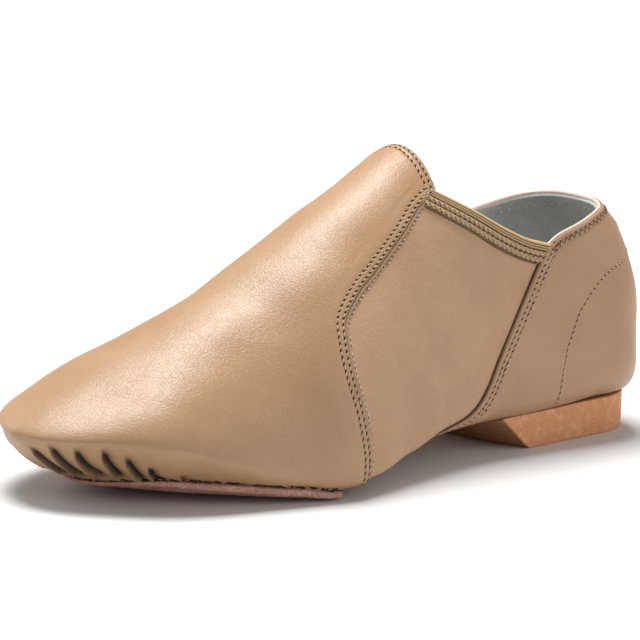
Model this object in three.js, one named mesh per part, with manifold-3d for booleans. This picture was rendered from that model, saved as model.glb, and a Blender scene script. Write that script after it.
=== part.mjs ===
// A left split-sole jazz shoe: a slip-on dance shoe with stretch sides.
// Every piece is cut from one last. Millimetres, +X to the toe, +Y to the outer side, +Z up.
import * as THREE from "three";
import { mergeVertices } from "three/addons/utils/BufferGeometryUtils.js";
import Module from "manifold-3d";

const wasm = await Module();
wasm.setup();

// Driving sizes
const size = {
  shoeLength: 250, // heel back to toe tip, over the leather
  ballWidth: 89, // the forefoot at its widest
  instepHeight: 106, // floor to the top of the tab
  toeSwing: 7, // how far the toe tip leans to the inner side
  toeSpring: 8.8, // lift of the leather under the toe tip
  heelHeight: 11.4, // floor to the seat on the heel block
  leather: 1.0, // thickness of the vamp and the quarter
  wall: 1.2, // stretch fabric with its lining
  gap: 0.3, // clearance between pieces that touch
  soleThickness: 2.2,
  soleFlat: 0.6, // depth to which the floor trims the sole patch flat
  insoleThickness: 2.0,
  bandHeight: 7.5, // elastic band along the collar
  bandThickness: 1.2,
  liningMargin: 11, // leather turned in under the sole patch and on to the heel seat
  heelWidth: 54, // heel block at its seat, along its front edge
  heelTaper: 1.2, // how much narrower each side of the block is at the floor
  heelBack: -0.8, // heel block's back, forward of the leather's rearmost point
  heelRound: 22.5, // radius of its round back
  heelLip: 0.8, // how far its rim reaches up to the leather
  breastTop: 70, // front edge of the heel block at its seat, on the outer side
  breastFloor: 56, // the same edge at the floor
  breastSkew: 10, // how much further forward it reaches on the inner side
  breastBow: 4, // how far it bulges forward in the middle
};

const stations = 38;
const lowerAngles = [0, 10, 24, 38, 50, 64, 78];
const upperAngles = [0, 13, 29, 45, 61, 77];
const reach = 200; // longer than any cut has to go
const soleReach = 0.15; // the undersides lie below this share of the instep height
const insetRound = 24; // steps of a round corner in an outline drawn inward
// How far side view cuts run past the shoe, in shares of its length and instep height.
const past = { back: -0.1, front: 1.1, floor: -0.1, top: 1.3 };

// A table as a list of rows with named columns.
function table(columns, rows) {
  return rows.map((row) => Object.fromEntries(columns.map((name, i) => [name, row[i]])));
}

// Cross-sections of the last. at: share of the shoe's length. rise: share of the heel seat's
// lift. spring: share of the toe spring. crown and widest: shares of the instep height. outer and
// inner: shares of the ball width. swing: share of the toe swing. top and low: how square the
// section is above and below its widest line, 2 being an ellipse. tuck: the same for how it leaves
// that line downward, under 2 being a crease with a slant under it.
const sections = table(
  ["at", "rise", "spring", "crown", "widest", "outer", "inner", "swing", "top", "low", "tuck"],
  [
    [0.0, 1.0, 0.0, 0.85, 0.3, 0.343, 0.326, -0.07, 2.4, 3.2, 3.6],
    [0.08, 1.0, 0.0, 0.89, 0.285, 0.348, 0.331, -0.07, 2.4, 3.4, 3.6],
    [0.18, 0.93, 0.0, 0.955, 0.275, 0.348, 0.331, 0.0, 2.4, 4.6, 4.6],
    [0.28, 0.86, 0.0, 0.99, 0.255, 0.354, 0.331, 0.07, 2.3, 5.0, 5.0],
    [0.38, 0.76, 0.0, 0.985, 0.21, 0.393, 0.354, 0.0, 2.05, 3.4, 3.4],
    [0.48, 0.24, 0.0, 0.885, 0.145, 0.46, 0.393, -0.21, 1.95, 3.2, 3.2],
    [0.58, 0.0, 0.0, 0.76, 0.1, 0.53, 0.433, -0.29, 1.9, 4.4, 4.4],
    [0.63, 0.0, 0.0, 0.687, 0.095, 0.545, 0.458, -0.2, 1.85, 5.2, 5.2],
    [0.68, 0.0, 0.0, 0.613, 0.1, 0.527, 0.472, -0.07, 1.8, 3.6, 3.2],
    [0.78, 0.0, 0.1, 0.5, 0.15, 0.494, 0.478, 0.29, 1.75, 2.5, 1.8],
    [0.86, 0.0, 0.26, 0.412, 0.2, 0.46, 0.455, 0.64, 1.7, 2.2, 1.4],
    [0.94, 0.0, 0.55, 0.335, 0.22, 0.405, 0.42, 0.93, 1.65, 2.0, 1.25],
    [1.0, 0.0, 1.0, 0.285, 0.215, 0.37, 0.39, 1.0, 1.65, 2.0, 1.3],
  ],
);

// How the last closes at its two ends. Lengths are shares of the shoe's length.
const ends = {
  toe: { width: 0.212, crown: 0.172, floor: 0.124, power: 2.1 },
  heel: { width: 0.096, crown: 0.19, floor: 0.024, power: 2.2 },
};

// Collar line seen from the side: at is a share of the length, height of the instep height on the
// outer side and low on the inner side.
const quarterTopline = table(
  ["at", "height", "low"],
  [
    [-0.04, 0.757, 0.757],
    [0.035, 0.757, 0.752],
    [0.09, 0.746, 0.728],
    [0.15, 0.713, 0.693],
    [0.19, 0.688, 0.672],
    [0.21, 0.664, 0.664],
  ],
);
const bandTopline = table(
  ["at", "height"],
  [
    [0.21, 0.664],
    [0.242, 0.686],
    [0.275, 0.722],
    [0.333, 0.8],
    [0.383, 0.862],
  ],
);

// Rear edge of the vamp and front edge of the quarter, seen from the side, from the top down.
const vampEdge = table(
  ["height", "at"],
  [
    [1.2, 0.381],
    [0.87, 0.384],
    [0.82, 0.42],
    [0.76, 0.453],
    [0.665, 0.514],
    [0.6, 0.558],
    [0.52, 0.59],
    [0.41, 0.597],
    [0.24, 0.587],
    [0.11, 0.58],
    [-0.1, 0.58],
  ],
);
const quarterEdge = table(
  ["height", "at"],
  [
    [1.2, 0.16],
    [0.664, 0.21],
    [0.6, 0.231],
    [0.52, 0.253],
    [0.41, 0.281],
    [0.32, 0.303],
    [0.25, 0.319],
    [0.19, 0.339],
    [0.15, 0.362],
    [0.12, 0.39],
    [0.08, 0.42],
    [0.04, 0.44],
    [-0.1, 0.45],
  ],
);

// Forefoot sole patch seen from below: at is a share of the length, side of the last's half width.
const soleOutline = table(
  ["at", "side"],
  [
    [0.616, 0.84],
    [0.63, 0.95],
    [0.68, 0.95],
    [0.76, 0.86],
    [0.82, 0.74],
    [0.87, 0.58],
    [0.895, 0.38],
    [0.907, 0.16],
  ],
);

// Smooth curve through a table's rows that never swings past them.
function smooth(rows, input, output) {
  const x = rows.map((row) => row[input]);
  const y = rows.map((row) => row[output]);
  const last = x.length - 1;
  const width = x.slice(1).map((value, i) => value - x[i]);
  const slope = width.map((w, i) => (y[i + 1] - y[i]) / w);
  const turn = y.map((_, i) => {
    if (i === 0 || i === last) return slope[Math.min(i, last - 1)];
    if (slope[i - 1] * slope[i] <= 0) return 0;
    const before = 2 * width[i] + width[i - 1];
    const after = width[i] + 2 * width[i - 1];
    return (before + after) / (before / slope[i - 1] + after / slope[i]);
  });
  return (value) => {
    const v = THREE.MathUtils.clamp(value, Math.min(x[0], x[last]), Math.max(x[0], x[last]));
    const forward = x[last] > x[0];
    let i = x.findIndex((end) => (forward ? v <= end : v >= end)) - 1;
    i = THREE.MathUtils.clamp(i, 0, last - 1);
    const t = (v - x[i]) / width[i];
    const s = 1 - t;
    return (
      s * s * (1 + 2 * t) * y[i] +
      t * t * (1 + 2 * s) * y[i + 1] +
      t * s * width[i] * (s * turn[i] - t * turn[i + 1])
    );
  };
}

const columns = Object.keys(sections[0]).filter((name) => name !== "at");
const lastCurves = Object.fromEntries(columns.map((name) => [name, smooth(sections, "at", name)]));

// Share of the full section that is left at a distance from an end that rounds off over a depth.
function rounding(distance, depth, power) {
  const t = THREE.MathUtils.clamp(1 - distance / depth, 0, 1);
  return (1 - t ** power) ** (1 / power);
}

const seat = size.soleThickness + size.gap - size.soleFlat; // leather over the floor at the ball
const heelSeat = size.heelHeight + size.gap;

// Height of the leather's underside along the middle of the shoe, before its ends round off.
function underside(at) {
  return seat + lastCurves.rise(at) * (heelSeat - seat) + lastCurves.spring(at) * size.toeSpring;
}

// One section of the last at a share of its length, grown outward by a thickness.
function section(at, grow) {
  const share = Object.fromEntries(columns.map((name) => [name, lastCurves[name](at)]));
  const close = { width: 1, crown: 1, floor: 1 };
  for (const [end, distance] of [["toe", 1 - at], ["heel", at]]) {
    const { power, ...depths } = ends[end];
    for (const name of Object.keys(depths)) close[name] *= rounding(distance, depths[name], power);
  }
  const middle = share.widest * size.instepHeight;
  return {
    x: at * (size.shoeLength + 2 * grow) - grow,
    centre: -share.swing * size.toeSwing,
    middle,
    outer: (share.outer * size.ballWidth + grow) * close.width,
    inner: (share.inner * size.ballWidth + grow) * close.width,
    up: (share.crown * size.instepHeight - middle + grow) * close.crown,
    down: (middle - underside(at) + grow) * close.floor,
    top: share.top,
    low: share.low,
    tuck: share.tuck,
  };
}

// A point of a section at an angle from its outer side, anticlockwise seen from the heel.
function ringPoint(s, angle) {
  const across = Math.cos(angle);
  const along = Math.sin(angle);
  const over = along >= 0;
  const reachY = Math.abs(across) ** (2 / (over ? s.top : s.low));
  const reachZ = Math.abs(along) ** (2 / (over ? s.top : s.tuck));
  const y = s.centre + (across >= 0 ? s.outer : -s.inner) * reachY;
  const z = s.middle + (over ? s.up : -s.down) * reachZ;
  return [s.x, y, z];
}

// Angles of a ring's points, with more of them round the lower corners.
function ringAngles() {
  const mirror = (angles) => angles.map((angle) => 180 - angle).reverse();
  const upper = [...upperAngles, 90, ...mirror(upperAngles)];
  const lower = [...lowerAngles.slice(1), 90, ...mirror(lowerAngles.slice(1))].map((a) => -a);
  return [...upper, ...lower.reverse()].map(THREE.MathUtils.degToRad);
}
const angles = ringAngles();

// The whole last as one closed solid, grown outward by a thickness or shrunk by a negative one.
function form(grow) {
  const points = [];
  const faces = [];
  const count = angles.length;
  for (let i = 1; i < stations; i += 1) {
    const s = section((1 - Math.cos((Math.PI * i) / stations)) / 2, grow);
    for (const angle of angles) points.push(ringPoint(s, angle));
  }
  const heel = points.length;
  const toe = heel + 1;
  for (const at of [0, 1]) {
    const s = section(at, grow);
    points.push([s.x, s.centre, s.middle]);
  }
  const rings = stations - 1;
  for (let j = 0; j < count; j += 1) {
    const k = (j + 1) % count;
    faces.push([heel, k, j], [toe, (rings - 1) * count + j, (rings - 1) * count + k]);
    for (let i = 0; i + 1 < rings; i += 1) {
      const [a, b] = [i * count + j, i * count + k];
      faces.push([a, b, b + count], [a, b + count, a + count]);
    }
  }
  return solidOf(points, faces);
}

// A closed solid from points and triangles.
function solidOf(points, faces) {
  return new wasm.Manifold(
    new wasm.Mesh({
      numProp: 3,
      vertProperties: new Float32Array(points.flat()),
      triVerts: new Uint32Array(faces.flat()),
    }),
  );
}

// A shape drawn in the side view, in shares of length and height, as a slab across the shoe.
function sideSlab(outline) {
  return slab(outline.map(([at, height]) => [at * size.shoeLength, height * size.instepHeight]));
}

// A shape drawn in the side view, in millimetres, as a slab across the shoe.
function slab(points) {
  const shape = new wasm.CrossSection([points], "NonZero");
  return shape.extrude(reach, 0, 0, [1, 1], true).rotate([90, 0, 0]);
}

// Points along a table's smooth curve.
function trace(rows, input, output, steps) {
  const curve = smooth(rows, input, output);
  const [start, end] = [rows[0][input], rows.at(-1)[input]];
  return Array.from({ length: steps + 1 }, (_, i) => {
    const value = THREE.MathUtils.lerp(start, end, i / steps);
    return [value, curve(value)];
  });
}
const toplineSteps = 8;
const edgeSteps = 22;
const soleSteps = 16;
const heelSteps = 10;
const insoleSteps = 24;
const quarterTop = {
  outer: trace(quarterTopline, "at", "height", toplineSteps),
  inner: trace(quarterTopline, "at", "low", toplineSteps),
};
const bandTop = trace(bandTopline, "at", "height", toplineSteps);
const vampLine = trace(vampEdge, "height", "at", edgeSteps).map(([height, at]) => [at, height]);
const quarterLine = trace(quarterEdge, "height", "at", edgeSteps).map(([h, at]) => [at, h]);

// One half of all space: side is +1 for the outer half and -1 for the inner half.
function halfSpace(side) {
  const cube = wasm.Manifold.cube([reach * 4, reach, reach * 4], true);
  return cube.translate([0, (side * reach) / 2, 0]);
}

// What the collar opens: everything over its line and behind the tab.
function collarCut() {
  const over = [[bandTop.at(-1)[0], past.top], [past.back, past.top]];
  const cut = (line) => sideSlab([...line, ...bandTop.slice(1), ...over]);
  const outer = cut(quarterTop.outer).intersect(halfSpace(1));
  return outer.add(cut(quarterTop.inner).intersect(halfSpace(-1)));
}

// Everything ahead of the vamp's rear edge, moved back by a clearance.
function vampSide(clearance = 0) {
  const edge = vampLine.map(([at, height]) => [at - clearance / size.shoeLength, height]);
  return sideSlab([...edge, [past.front, past.floor], [past.front, past.top]]);
}

// Everything behind the quarter's front edge, moved forward by a clearance.
function quarterSide(clearance = 0) {
  const edge = quarterLine.map(([at, height]) => [at + clearance / size.shoeLength, height]);
  return sideSlab([...edge, [past.back, past.floor], [past.back, past.top]]);
}

// The band's strip under the collar line, with a clearance to the leather before and behind it.
function bandSide() {
  const drop = size.bandHeight / size.instepHeight;
  const [[x0, z0], [x1, z1]] = bandTop.slice(-2);
  const ahead = [x1 + drop, z1 + (drop * (z1 - z0)) / (x1 - x0)];
  const top = [...bandTop, ahead];
  const strip = sideSlab([...top, ...top.map(([at, height]) => [at, height - drop]).reverse()]);
  return strip.subtract(vampSide(size.gap)).subtract(quarterSide(size.gap));
}

// Plan outline of the sole patch, drawn inward by a margin, as a slab over the floor.
function soleSlab(margin) {
  const outer = [];
  const inner = [];
  for (const [at, side] of trace(soleOutline, "at", "side", soleSteps)) {
    const s = section(at, 0);
    outer.push([s.x, s.centre + s.outer * side]);
    inner.push([s.x, s.centre - s.inner * side]);
  }
  const shape = new wasm.CrossSection([[...outer, ...inner.reverse()].reverse()], "NonZero");
  const inset = margin > 0 ? shape.offset(-margin, "Round", 2, insetRound) : shape;
  return inset.extrude(soleReach * size.instepHeight);
}

// Plan outline of the heel block at one level, drawn inward by a margin: its bowed front edge, sides
// that draw together backwards and its round back.
function heelOutline(front, width, margin) {
  const half = width / 2 - margin;
  const radius = size.heelRound - margin;
  const points = [];
  for (let i = 0; i <= heelSteps; i += 1) {
    const share = (2 * i) / heelSteps - 1;
    const turn = (Math.PI / 2) * share;
    const bulge = size.breastBow * (1 - share ** 2) + (size.breastSkew * (1 - share)) / 2;
    points.push([front - margin + bulge, half * share]);
    points.push([
      size.heelBack + size.heelRound - radius * Math.cos(turn),
      radius * Math.sin(turn),
    ]);
  }
  return wasm.CrossSection.hull(points);
}

// Opening over the heel block, through the leather and the lining under the heel.
function heelOpening() {
  const shape = heelOutline(size.breastFloor, size.heelWidth, size.liningMargin);
  return shape.extrude(size.heelHeight + size.liningMargin);
}

const layer = size.leather + size.gap; // the fabric lies this far under the leather's face
const fabric = form(-layer);
const lining = form(-layer - size.wall);
const leatherFace = form(0);
const leatherBack = form(-size.leather);
const leatherSkin = leatherFace.subtract(leatherBack);
const soleOpening = soleSlab(size.liningMargin);

// The hollow upper of stretch fabric and lining, open at the collar, forefoot and heel seat.
function upper() {
  return fabric.subtract(lining).subtract(collarCut()).subtract(soleOpening).subtract(heelOpening());
}

// The leather vamp with its tab, from the toe to the stretch sides.
function vamp() {
  return leatherSkin.intersect(vampSide()).subtract(soleOpening);
}

// The leather quarter round the heel, swept forward under the arch.
function quarter() {
  return leatherSkin.intersect(quarterSide()).subtract(collarCut()).subtract(heelOpening());
}

// One elastic band along the collar. side is +1 on the outer side and -1 on the inner side.
function band(side) {
  const skin = form(size.bandThickness - size.leather).subtract(leatherBack);
  return skin.intersect(bandSide()).intersect(halfSpace(side));
}

// The suede patch under the forefoot, trimmed flat by the floor.
function forefootSole() {
  const under = form(size.gap);
  const patch = form(size.gap + size.soleThickness).intersect(soleSlab(0));
  return patch.subtract(under);
}

// The heel block, hollowed on top to the leather it carries.
function heelBlock() {
  const floor = heelOutline(size.breastFloor, size.heelWidth - 2 * size.heelTaper, 0);
  const top = heelOutline(size.breastTop, size.heelWidth, 0);
  const level = (shape, z) => shape.toPolygons().flat().map(([x, y]) => [x, y, z]);
  const points = [...level(floor, 0), ...level(top, heelSeat + size.heelLip)];
  return wasm.Manifold.hull(points).subtract(form(size.gap));
}

// The insole, a slab that follows the underside inside the lining.
function insole() {
  const lift = layer + size.wall + size.gap + size.insoleThickness;
  const top = Array.from({ length: insoleSteps + 1 }, (_, i) => {
    const at = i / insoleSteps;
    return [at * size.shoeLength, underside(at) + lift];
  });
  const below = slab([[0, -reach], [size.shoeLength, -reach], ...top.reverse()]);
  return form(-layer - size.wall - size.gap).intersect(below);
}

const finishes = {
  stretch: { color: "#bf9d82", roughness: 0.9 },
  leather: { color: "#dbb48a", roughness: 0.45 },
  elastic: { color: "#b99a68", roughness: 0.85 },
  suede: { color: "#8b6558", roughness: 0.95 },
  heel: { color: "#ad7755", roughness: 0.9 },
  foam: { color: "#6d6e6c", roughness: 0.9 },
};

// A named mesh from a solid, with its finish.
function piece(name, solid, finish) {
  const mesh = solid.getMesh();
  const geometry = new THREE.BufferGeometry();
  geometry.setAttribute("position", new THREE.BufferAttribute(mesh.vertProperties, 3));
  geometry.setIndex(new THREE.BufferAttribute(mesh.triVerts, 1));
  const material = new THREE.MeshStandardMaterial({ ...finishes[finish], metalness: 0 });
  const result = new THREE.Mesh(mergeVertices(geometry, 1e-4), material);
  result.name = name;
  return result;
}

const shoe = new THREE.Group();
shoe.add(
  piece("upper", upper(), "stretch"),
  piece("vamp", vamp(), "leather"),
  piece("heel_quarter", quarter(), "leather"),
  piece("elastic_band_outer", band(1), "elastic"),
  piece("elastic_band_inner", band(-1), "elastic"),
  piece("forefoot_sole", forefootSole(), "suede"),
  piece("heel_block", heelBlock(), "heel"),
  piece("insole", insole(), "foam"),
);

// The origin is under the middle of the whole shoe, on the floor.
const box = new THREE.Box3().setFromObject(shoe);
const centre = box.getCenter(new THREE.Vector3());
shoe.position.set(-centre.x, -centre.y, -box.min.z);
shoe.updateMatrixWorld(true);

export default shoe;
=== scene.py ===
"""A left split-sole jazz shoe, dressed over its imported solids.

Lengths inside the classes are millimetres on the last: x from the heel back to the toe, y to the
outer side from the last's axis, z up from the floor. Last.place() turns them into the frame.
"""
import logging
import math
from dataclasses import dataclass
from enum import Enum
from typing import Any, Callable, Sequence

import bmesh
import bpy
import numpy as np
from mathutils import Matrix, Vector


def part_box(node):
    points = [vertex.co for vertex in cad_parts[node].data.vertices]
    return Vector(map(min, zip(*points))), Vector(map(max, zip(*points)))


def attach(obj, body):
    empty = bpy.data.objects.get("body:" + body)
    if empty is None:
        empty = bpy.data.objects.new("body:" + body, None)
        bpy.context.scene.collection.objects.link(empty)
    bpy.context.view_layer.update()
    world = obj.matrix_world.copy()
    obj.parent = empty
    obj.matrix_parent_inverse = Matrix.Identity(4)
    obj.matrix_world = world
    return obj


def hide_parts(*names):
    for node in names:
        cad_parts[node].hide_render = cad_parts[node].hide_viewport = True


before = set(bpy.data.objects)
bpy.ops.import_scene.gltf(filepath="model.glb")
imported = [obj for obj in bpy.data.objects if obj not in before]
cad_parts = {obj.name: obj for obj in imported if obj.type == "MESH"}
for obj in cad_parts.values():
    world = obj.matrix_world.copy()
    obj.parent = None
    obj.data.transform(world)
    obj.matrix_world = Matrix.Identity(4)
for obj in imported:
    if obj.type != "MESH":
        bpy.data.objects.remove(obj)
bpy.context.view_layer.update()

log = logging.getLogger("jazz_shoe")

Colour = tuple[float, float, float]

BODY = "root"
WELD_REACH = 1e-6
THINNEST_EDGE = 1e-7
HALVINGS = 36
UP = np.array([0.0, 0.0, 1.0])

SECTION_COLUMNS = (
    "at", "rise", "spring", "crown", "widest", "outer", "inner", "swing", "top", "low", "tuck",
)
SECTIONS = (
    (0.0, 1.0, 0.0, 0.85, 0.3, 0.343, 0.326, -0.07, 2.4, 3.2, 3.6),
    (0.08, 1.0, 0.0, 0.89, 0.285, 0.348, 0.331, -0.07, 2.4, 3.4, 3.6),
    (0.18, 0.93, 0.0, 0.955, 0.275, 0.348, 0.331, 0.0, 2.4, 4.6, 4.6),
    (0.28, 0.86, 0.0, 0.99, 0.255, 0.354, 0.331, 0.07, 2.3, 5.0, 5.0),
    (0.38, 0.76, 0.0, 0.985, 0.21, 0.393, 0.354, 0.0, 2.05, 3.4, 3.4),
    (0.48, 0.24, 0.0, 0.885, 0.145, 0.46, 0.393, -0.21, 1.95, 3.2, 3.2),
    (0.58, 0.0, 0.0, 0.76, 0.1, 0.53, 0.433, -0.29, 1.9, 4.4, 4.4),
    (0.63, 0.0, 0.0, 0.687, 0.095, 0.545, 0.458, -0.2, 1.85, 5.2, 5.2),
    (0.68, 0.0, 0.0, 0.613, 0.1, 0.527, 0.472, -0.07, 1.8, 3.6, 3.2),
    (0.78, 0.0, 0.1, 0.5, 0.15, 0.494, 0.478, 0.29, 1.75, 2.5, 1.8),
    (0.86, 0.0, 0.26, 0.412, 0.2, 0.46, 0.455, 0.64, 1.7, 2.2, 1.4),
    (0.94, 0.0, 0.55, 0.335, 0.22, 0.405, 0.42, 0.93, 1.65, 2.0, 1.25),
    (1.0, 0.0, 1.0, 0.285, 0.215, 0.37, 0.39, 1.0, 1.65, 2.0, 1.3),
)
QUARTER_TOPLINE = (
    (-0.04, 0.757, 0.757),
    (0.035, 0.757, 0.752),
    (0.09, 0.746, 0.728),
    (0.15, 0.713, 0.693),
    (0.19, 0.688, 0.672),
    (0.21, 0.664, 0.664),
)
BAND_TOPLINE = ((0.21, 0.664), (0.242, 0.686), (0.275, 0.722), (0.333, 0.8), (0.383, 0.862))
VAMP_EDGE = (
    (1.2, 0.381), (0.87, 0.384), (0.82, 0.42), (0.76, 0.453), (0.665, 0.514), (0.6, 0.558),
    (0.52, 0.59), (0.41, 0.597), (0.24, 0.587), (0.11, 0.58), (-0.1, 0.58),
)
QUARTER_EDGE = (
    (1.2, 0.16), (0.664, 0.21), (0.6, 0.231), (0.52, 0.253), (0.41, 0.281), (0.32, 0.303),
    (0.25, 0.319), (0.19, 0.339), (0.15, 0.362), (0.12, 0.39), (0.08, 0.42), (0.04, 0.44),
    (-0.1, 0.45),
)
SOLE_OUTLINE = (
    (0.616, 0.84), (0.63, 0.95), (0.68, 0.95), (0.76, 0.86), (0.82, 0.74), (0.87, 0.58),
    (0.895, 0.38), (0.907, 0.16),
)


class Side(Enum):
    """A side of the foot, with its sign across the shoe."""

    OUTER = 1
    INNER = -1


def smooth(columns: Sequence[float], values: Sequence[float]) -> Callable[[Any], np.ndarray]:
    """A smooth curve through points that never swings past them.

    Args:
        columns: Where the points stand, rising or falling.
        values: The value at each.

    Returns:
        A function of an array of places.
    """
    x, y = np.array(columns, float), np.array(values, float)
    if x[0] > x[-1]:
        x, y = x[::-1], y[::-1]
    width = np.diff(x)
    slope = np.diff(y) / width
    turn = np.zeros(len(x))
    turn[0], turn[-1] = slope[0], slope[-1]
    for i in range(1, len(x) - 1):
        if slope[i - 1] * slope[i] > 0:
            before, after = 2 * width[i] + width[i - 1], width[i] + 2 * width[i - 1]
            turn[i] = (before + after) / (before / slope[i - 1] + after / slope[i])

    def curve(place: Any) -> np.ndarray:
        """The value at each place, held beyond the two ends."""
        v = np.clip(place, x[0], x[-1])
        i = np.clip(np.searchsorted(x, v) - 1, 0, len(x) - 2)
        t = (v - x[i]) / width[i]
        s = 1 - t
        ends = s * s * (1 + 2 * t) * y[i] + t * t * (1 + 2 * s) * y[i + 1]
        return ends + t * s * width[i] * (s * turn[i] - t * turn[i + 1])

    return curve


def step(low: float, high: float, value: Any) -> np.ndarray:
    """A smooth step from 0 at low to 1 at high."""
    t = np.clip((np.asarray(value, float) - low) / (high - low), 0, 1)
    return t * t * (3 - 2 * t)


def bell(value: Any, width: float) -> np.ndarray:
    """A bell curve of height 1 and the given half width."""
    return np.exp(-((np.asarray(value, float) / width) ** 2))


def unit(vectors: np.ndarray) -> np.ndarray:
    """The vectors made one long."""
    return vectors / np.maximum(np.linalg.norm(vectors, axis=-1, keepdims=True), 1e-12)


def ripples(points: np.ndarray, wavelength: float, seed: int, count: int = 7) -> np.ndarray:
    """Soft irregular ripples, about -1 to 1, from a few crossing waves.

    Args:
        points: Places in millimetres.
        wavelength: The middle wavelength in millimetres.
        seed: Picks the waves.
        count: How many waves cross.

    Returns:
        One value a point.
    """
    draw = np.random.default_rng(seed)
    total = np.zeros(points.shape[:-1])
    for _ in range(count):
        direction = unit(draw.normal(size=3)) * 2 * math.pi / (wavelength * draw.uniform(0.7, 1.6))
        total += np.sin(points @ direction + draw.uniform(0, 2 * math.pi))
    return total / math.sqrt(count)


@dataclass(frozen=True)
class ShoeSizes:
    """The driving sizes of the shoe in millimetres, as in the part's source."""

    length: float = 250.0
    ball_width: float = 89.0
    instep_height: float = 106.0
    toe_swing: float = 7.0
    toe_spring: float = 8.8
    heel_height: float = 11.4
    leather: float = 1.0
    wall: float = 1.2
    gap: float = 0.3
    sole: float = 2.2
    sole_flat: float = 0.6
    insole: float = 2.0
    heel_width: float = 54.0
    heel_taper: float = 1.2
    heel_back: float = -0.8
    heel_round: float = 22.5
    heel_lip: float = 0.8
    breast_top: float = 70.0
    breast_floor: float = 56.0
    breast_skew: float = 10.0
    breast_bow: float = 4.0

    @property
    def layer(self) -> float:
        """How far the fabric lies under the leather's face."""
        return self.leather + self.gap

    @property
    def seat(self) -> float:
        """Height of the leather over the floor at the ball."""
        return self.sole + self.gap - self.sole_flat

    @property
    def heel_seat(self) -> float:
        """Height of the leather over the floor at the heel."""
        return self.heel_height + self.gap


@dataclass(frozen=True)
class End:
    """How the last closes at one end: depths as shares of the length, and a power."""

    width: float
    crown: float
    floor: float
    power: float


TOE_END = End(0.212, 0.172, 0.124, 2.1)
HEEL_END = End(0.096, 0.19, 0.024, 2.2)


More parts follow.
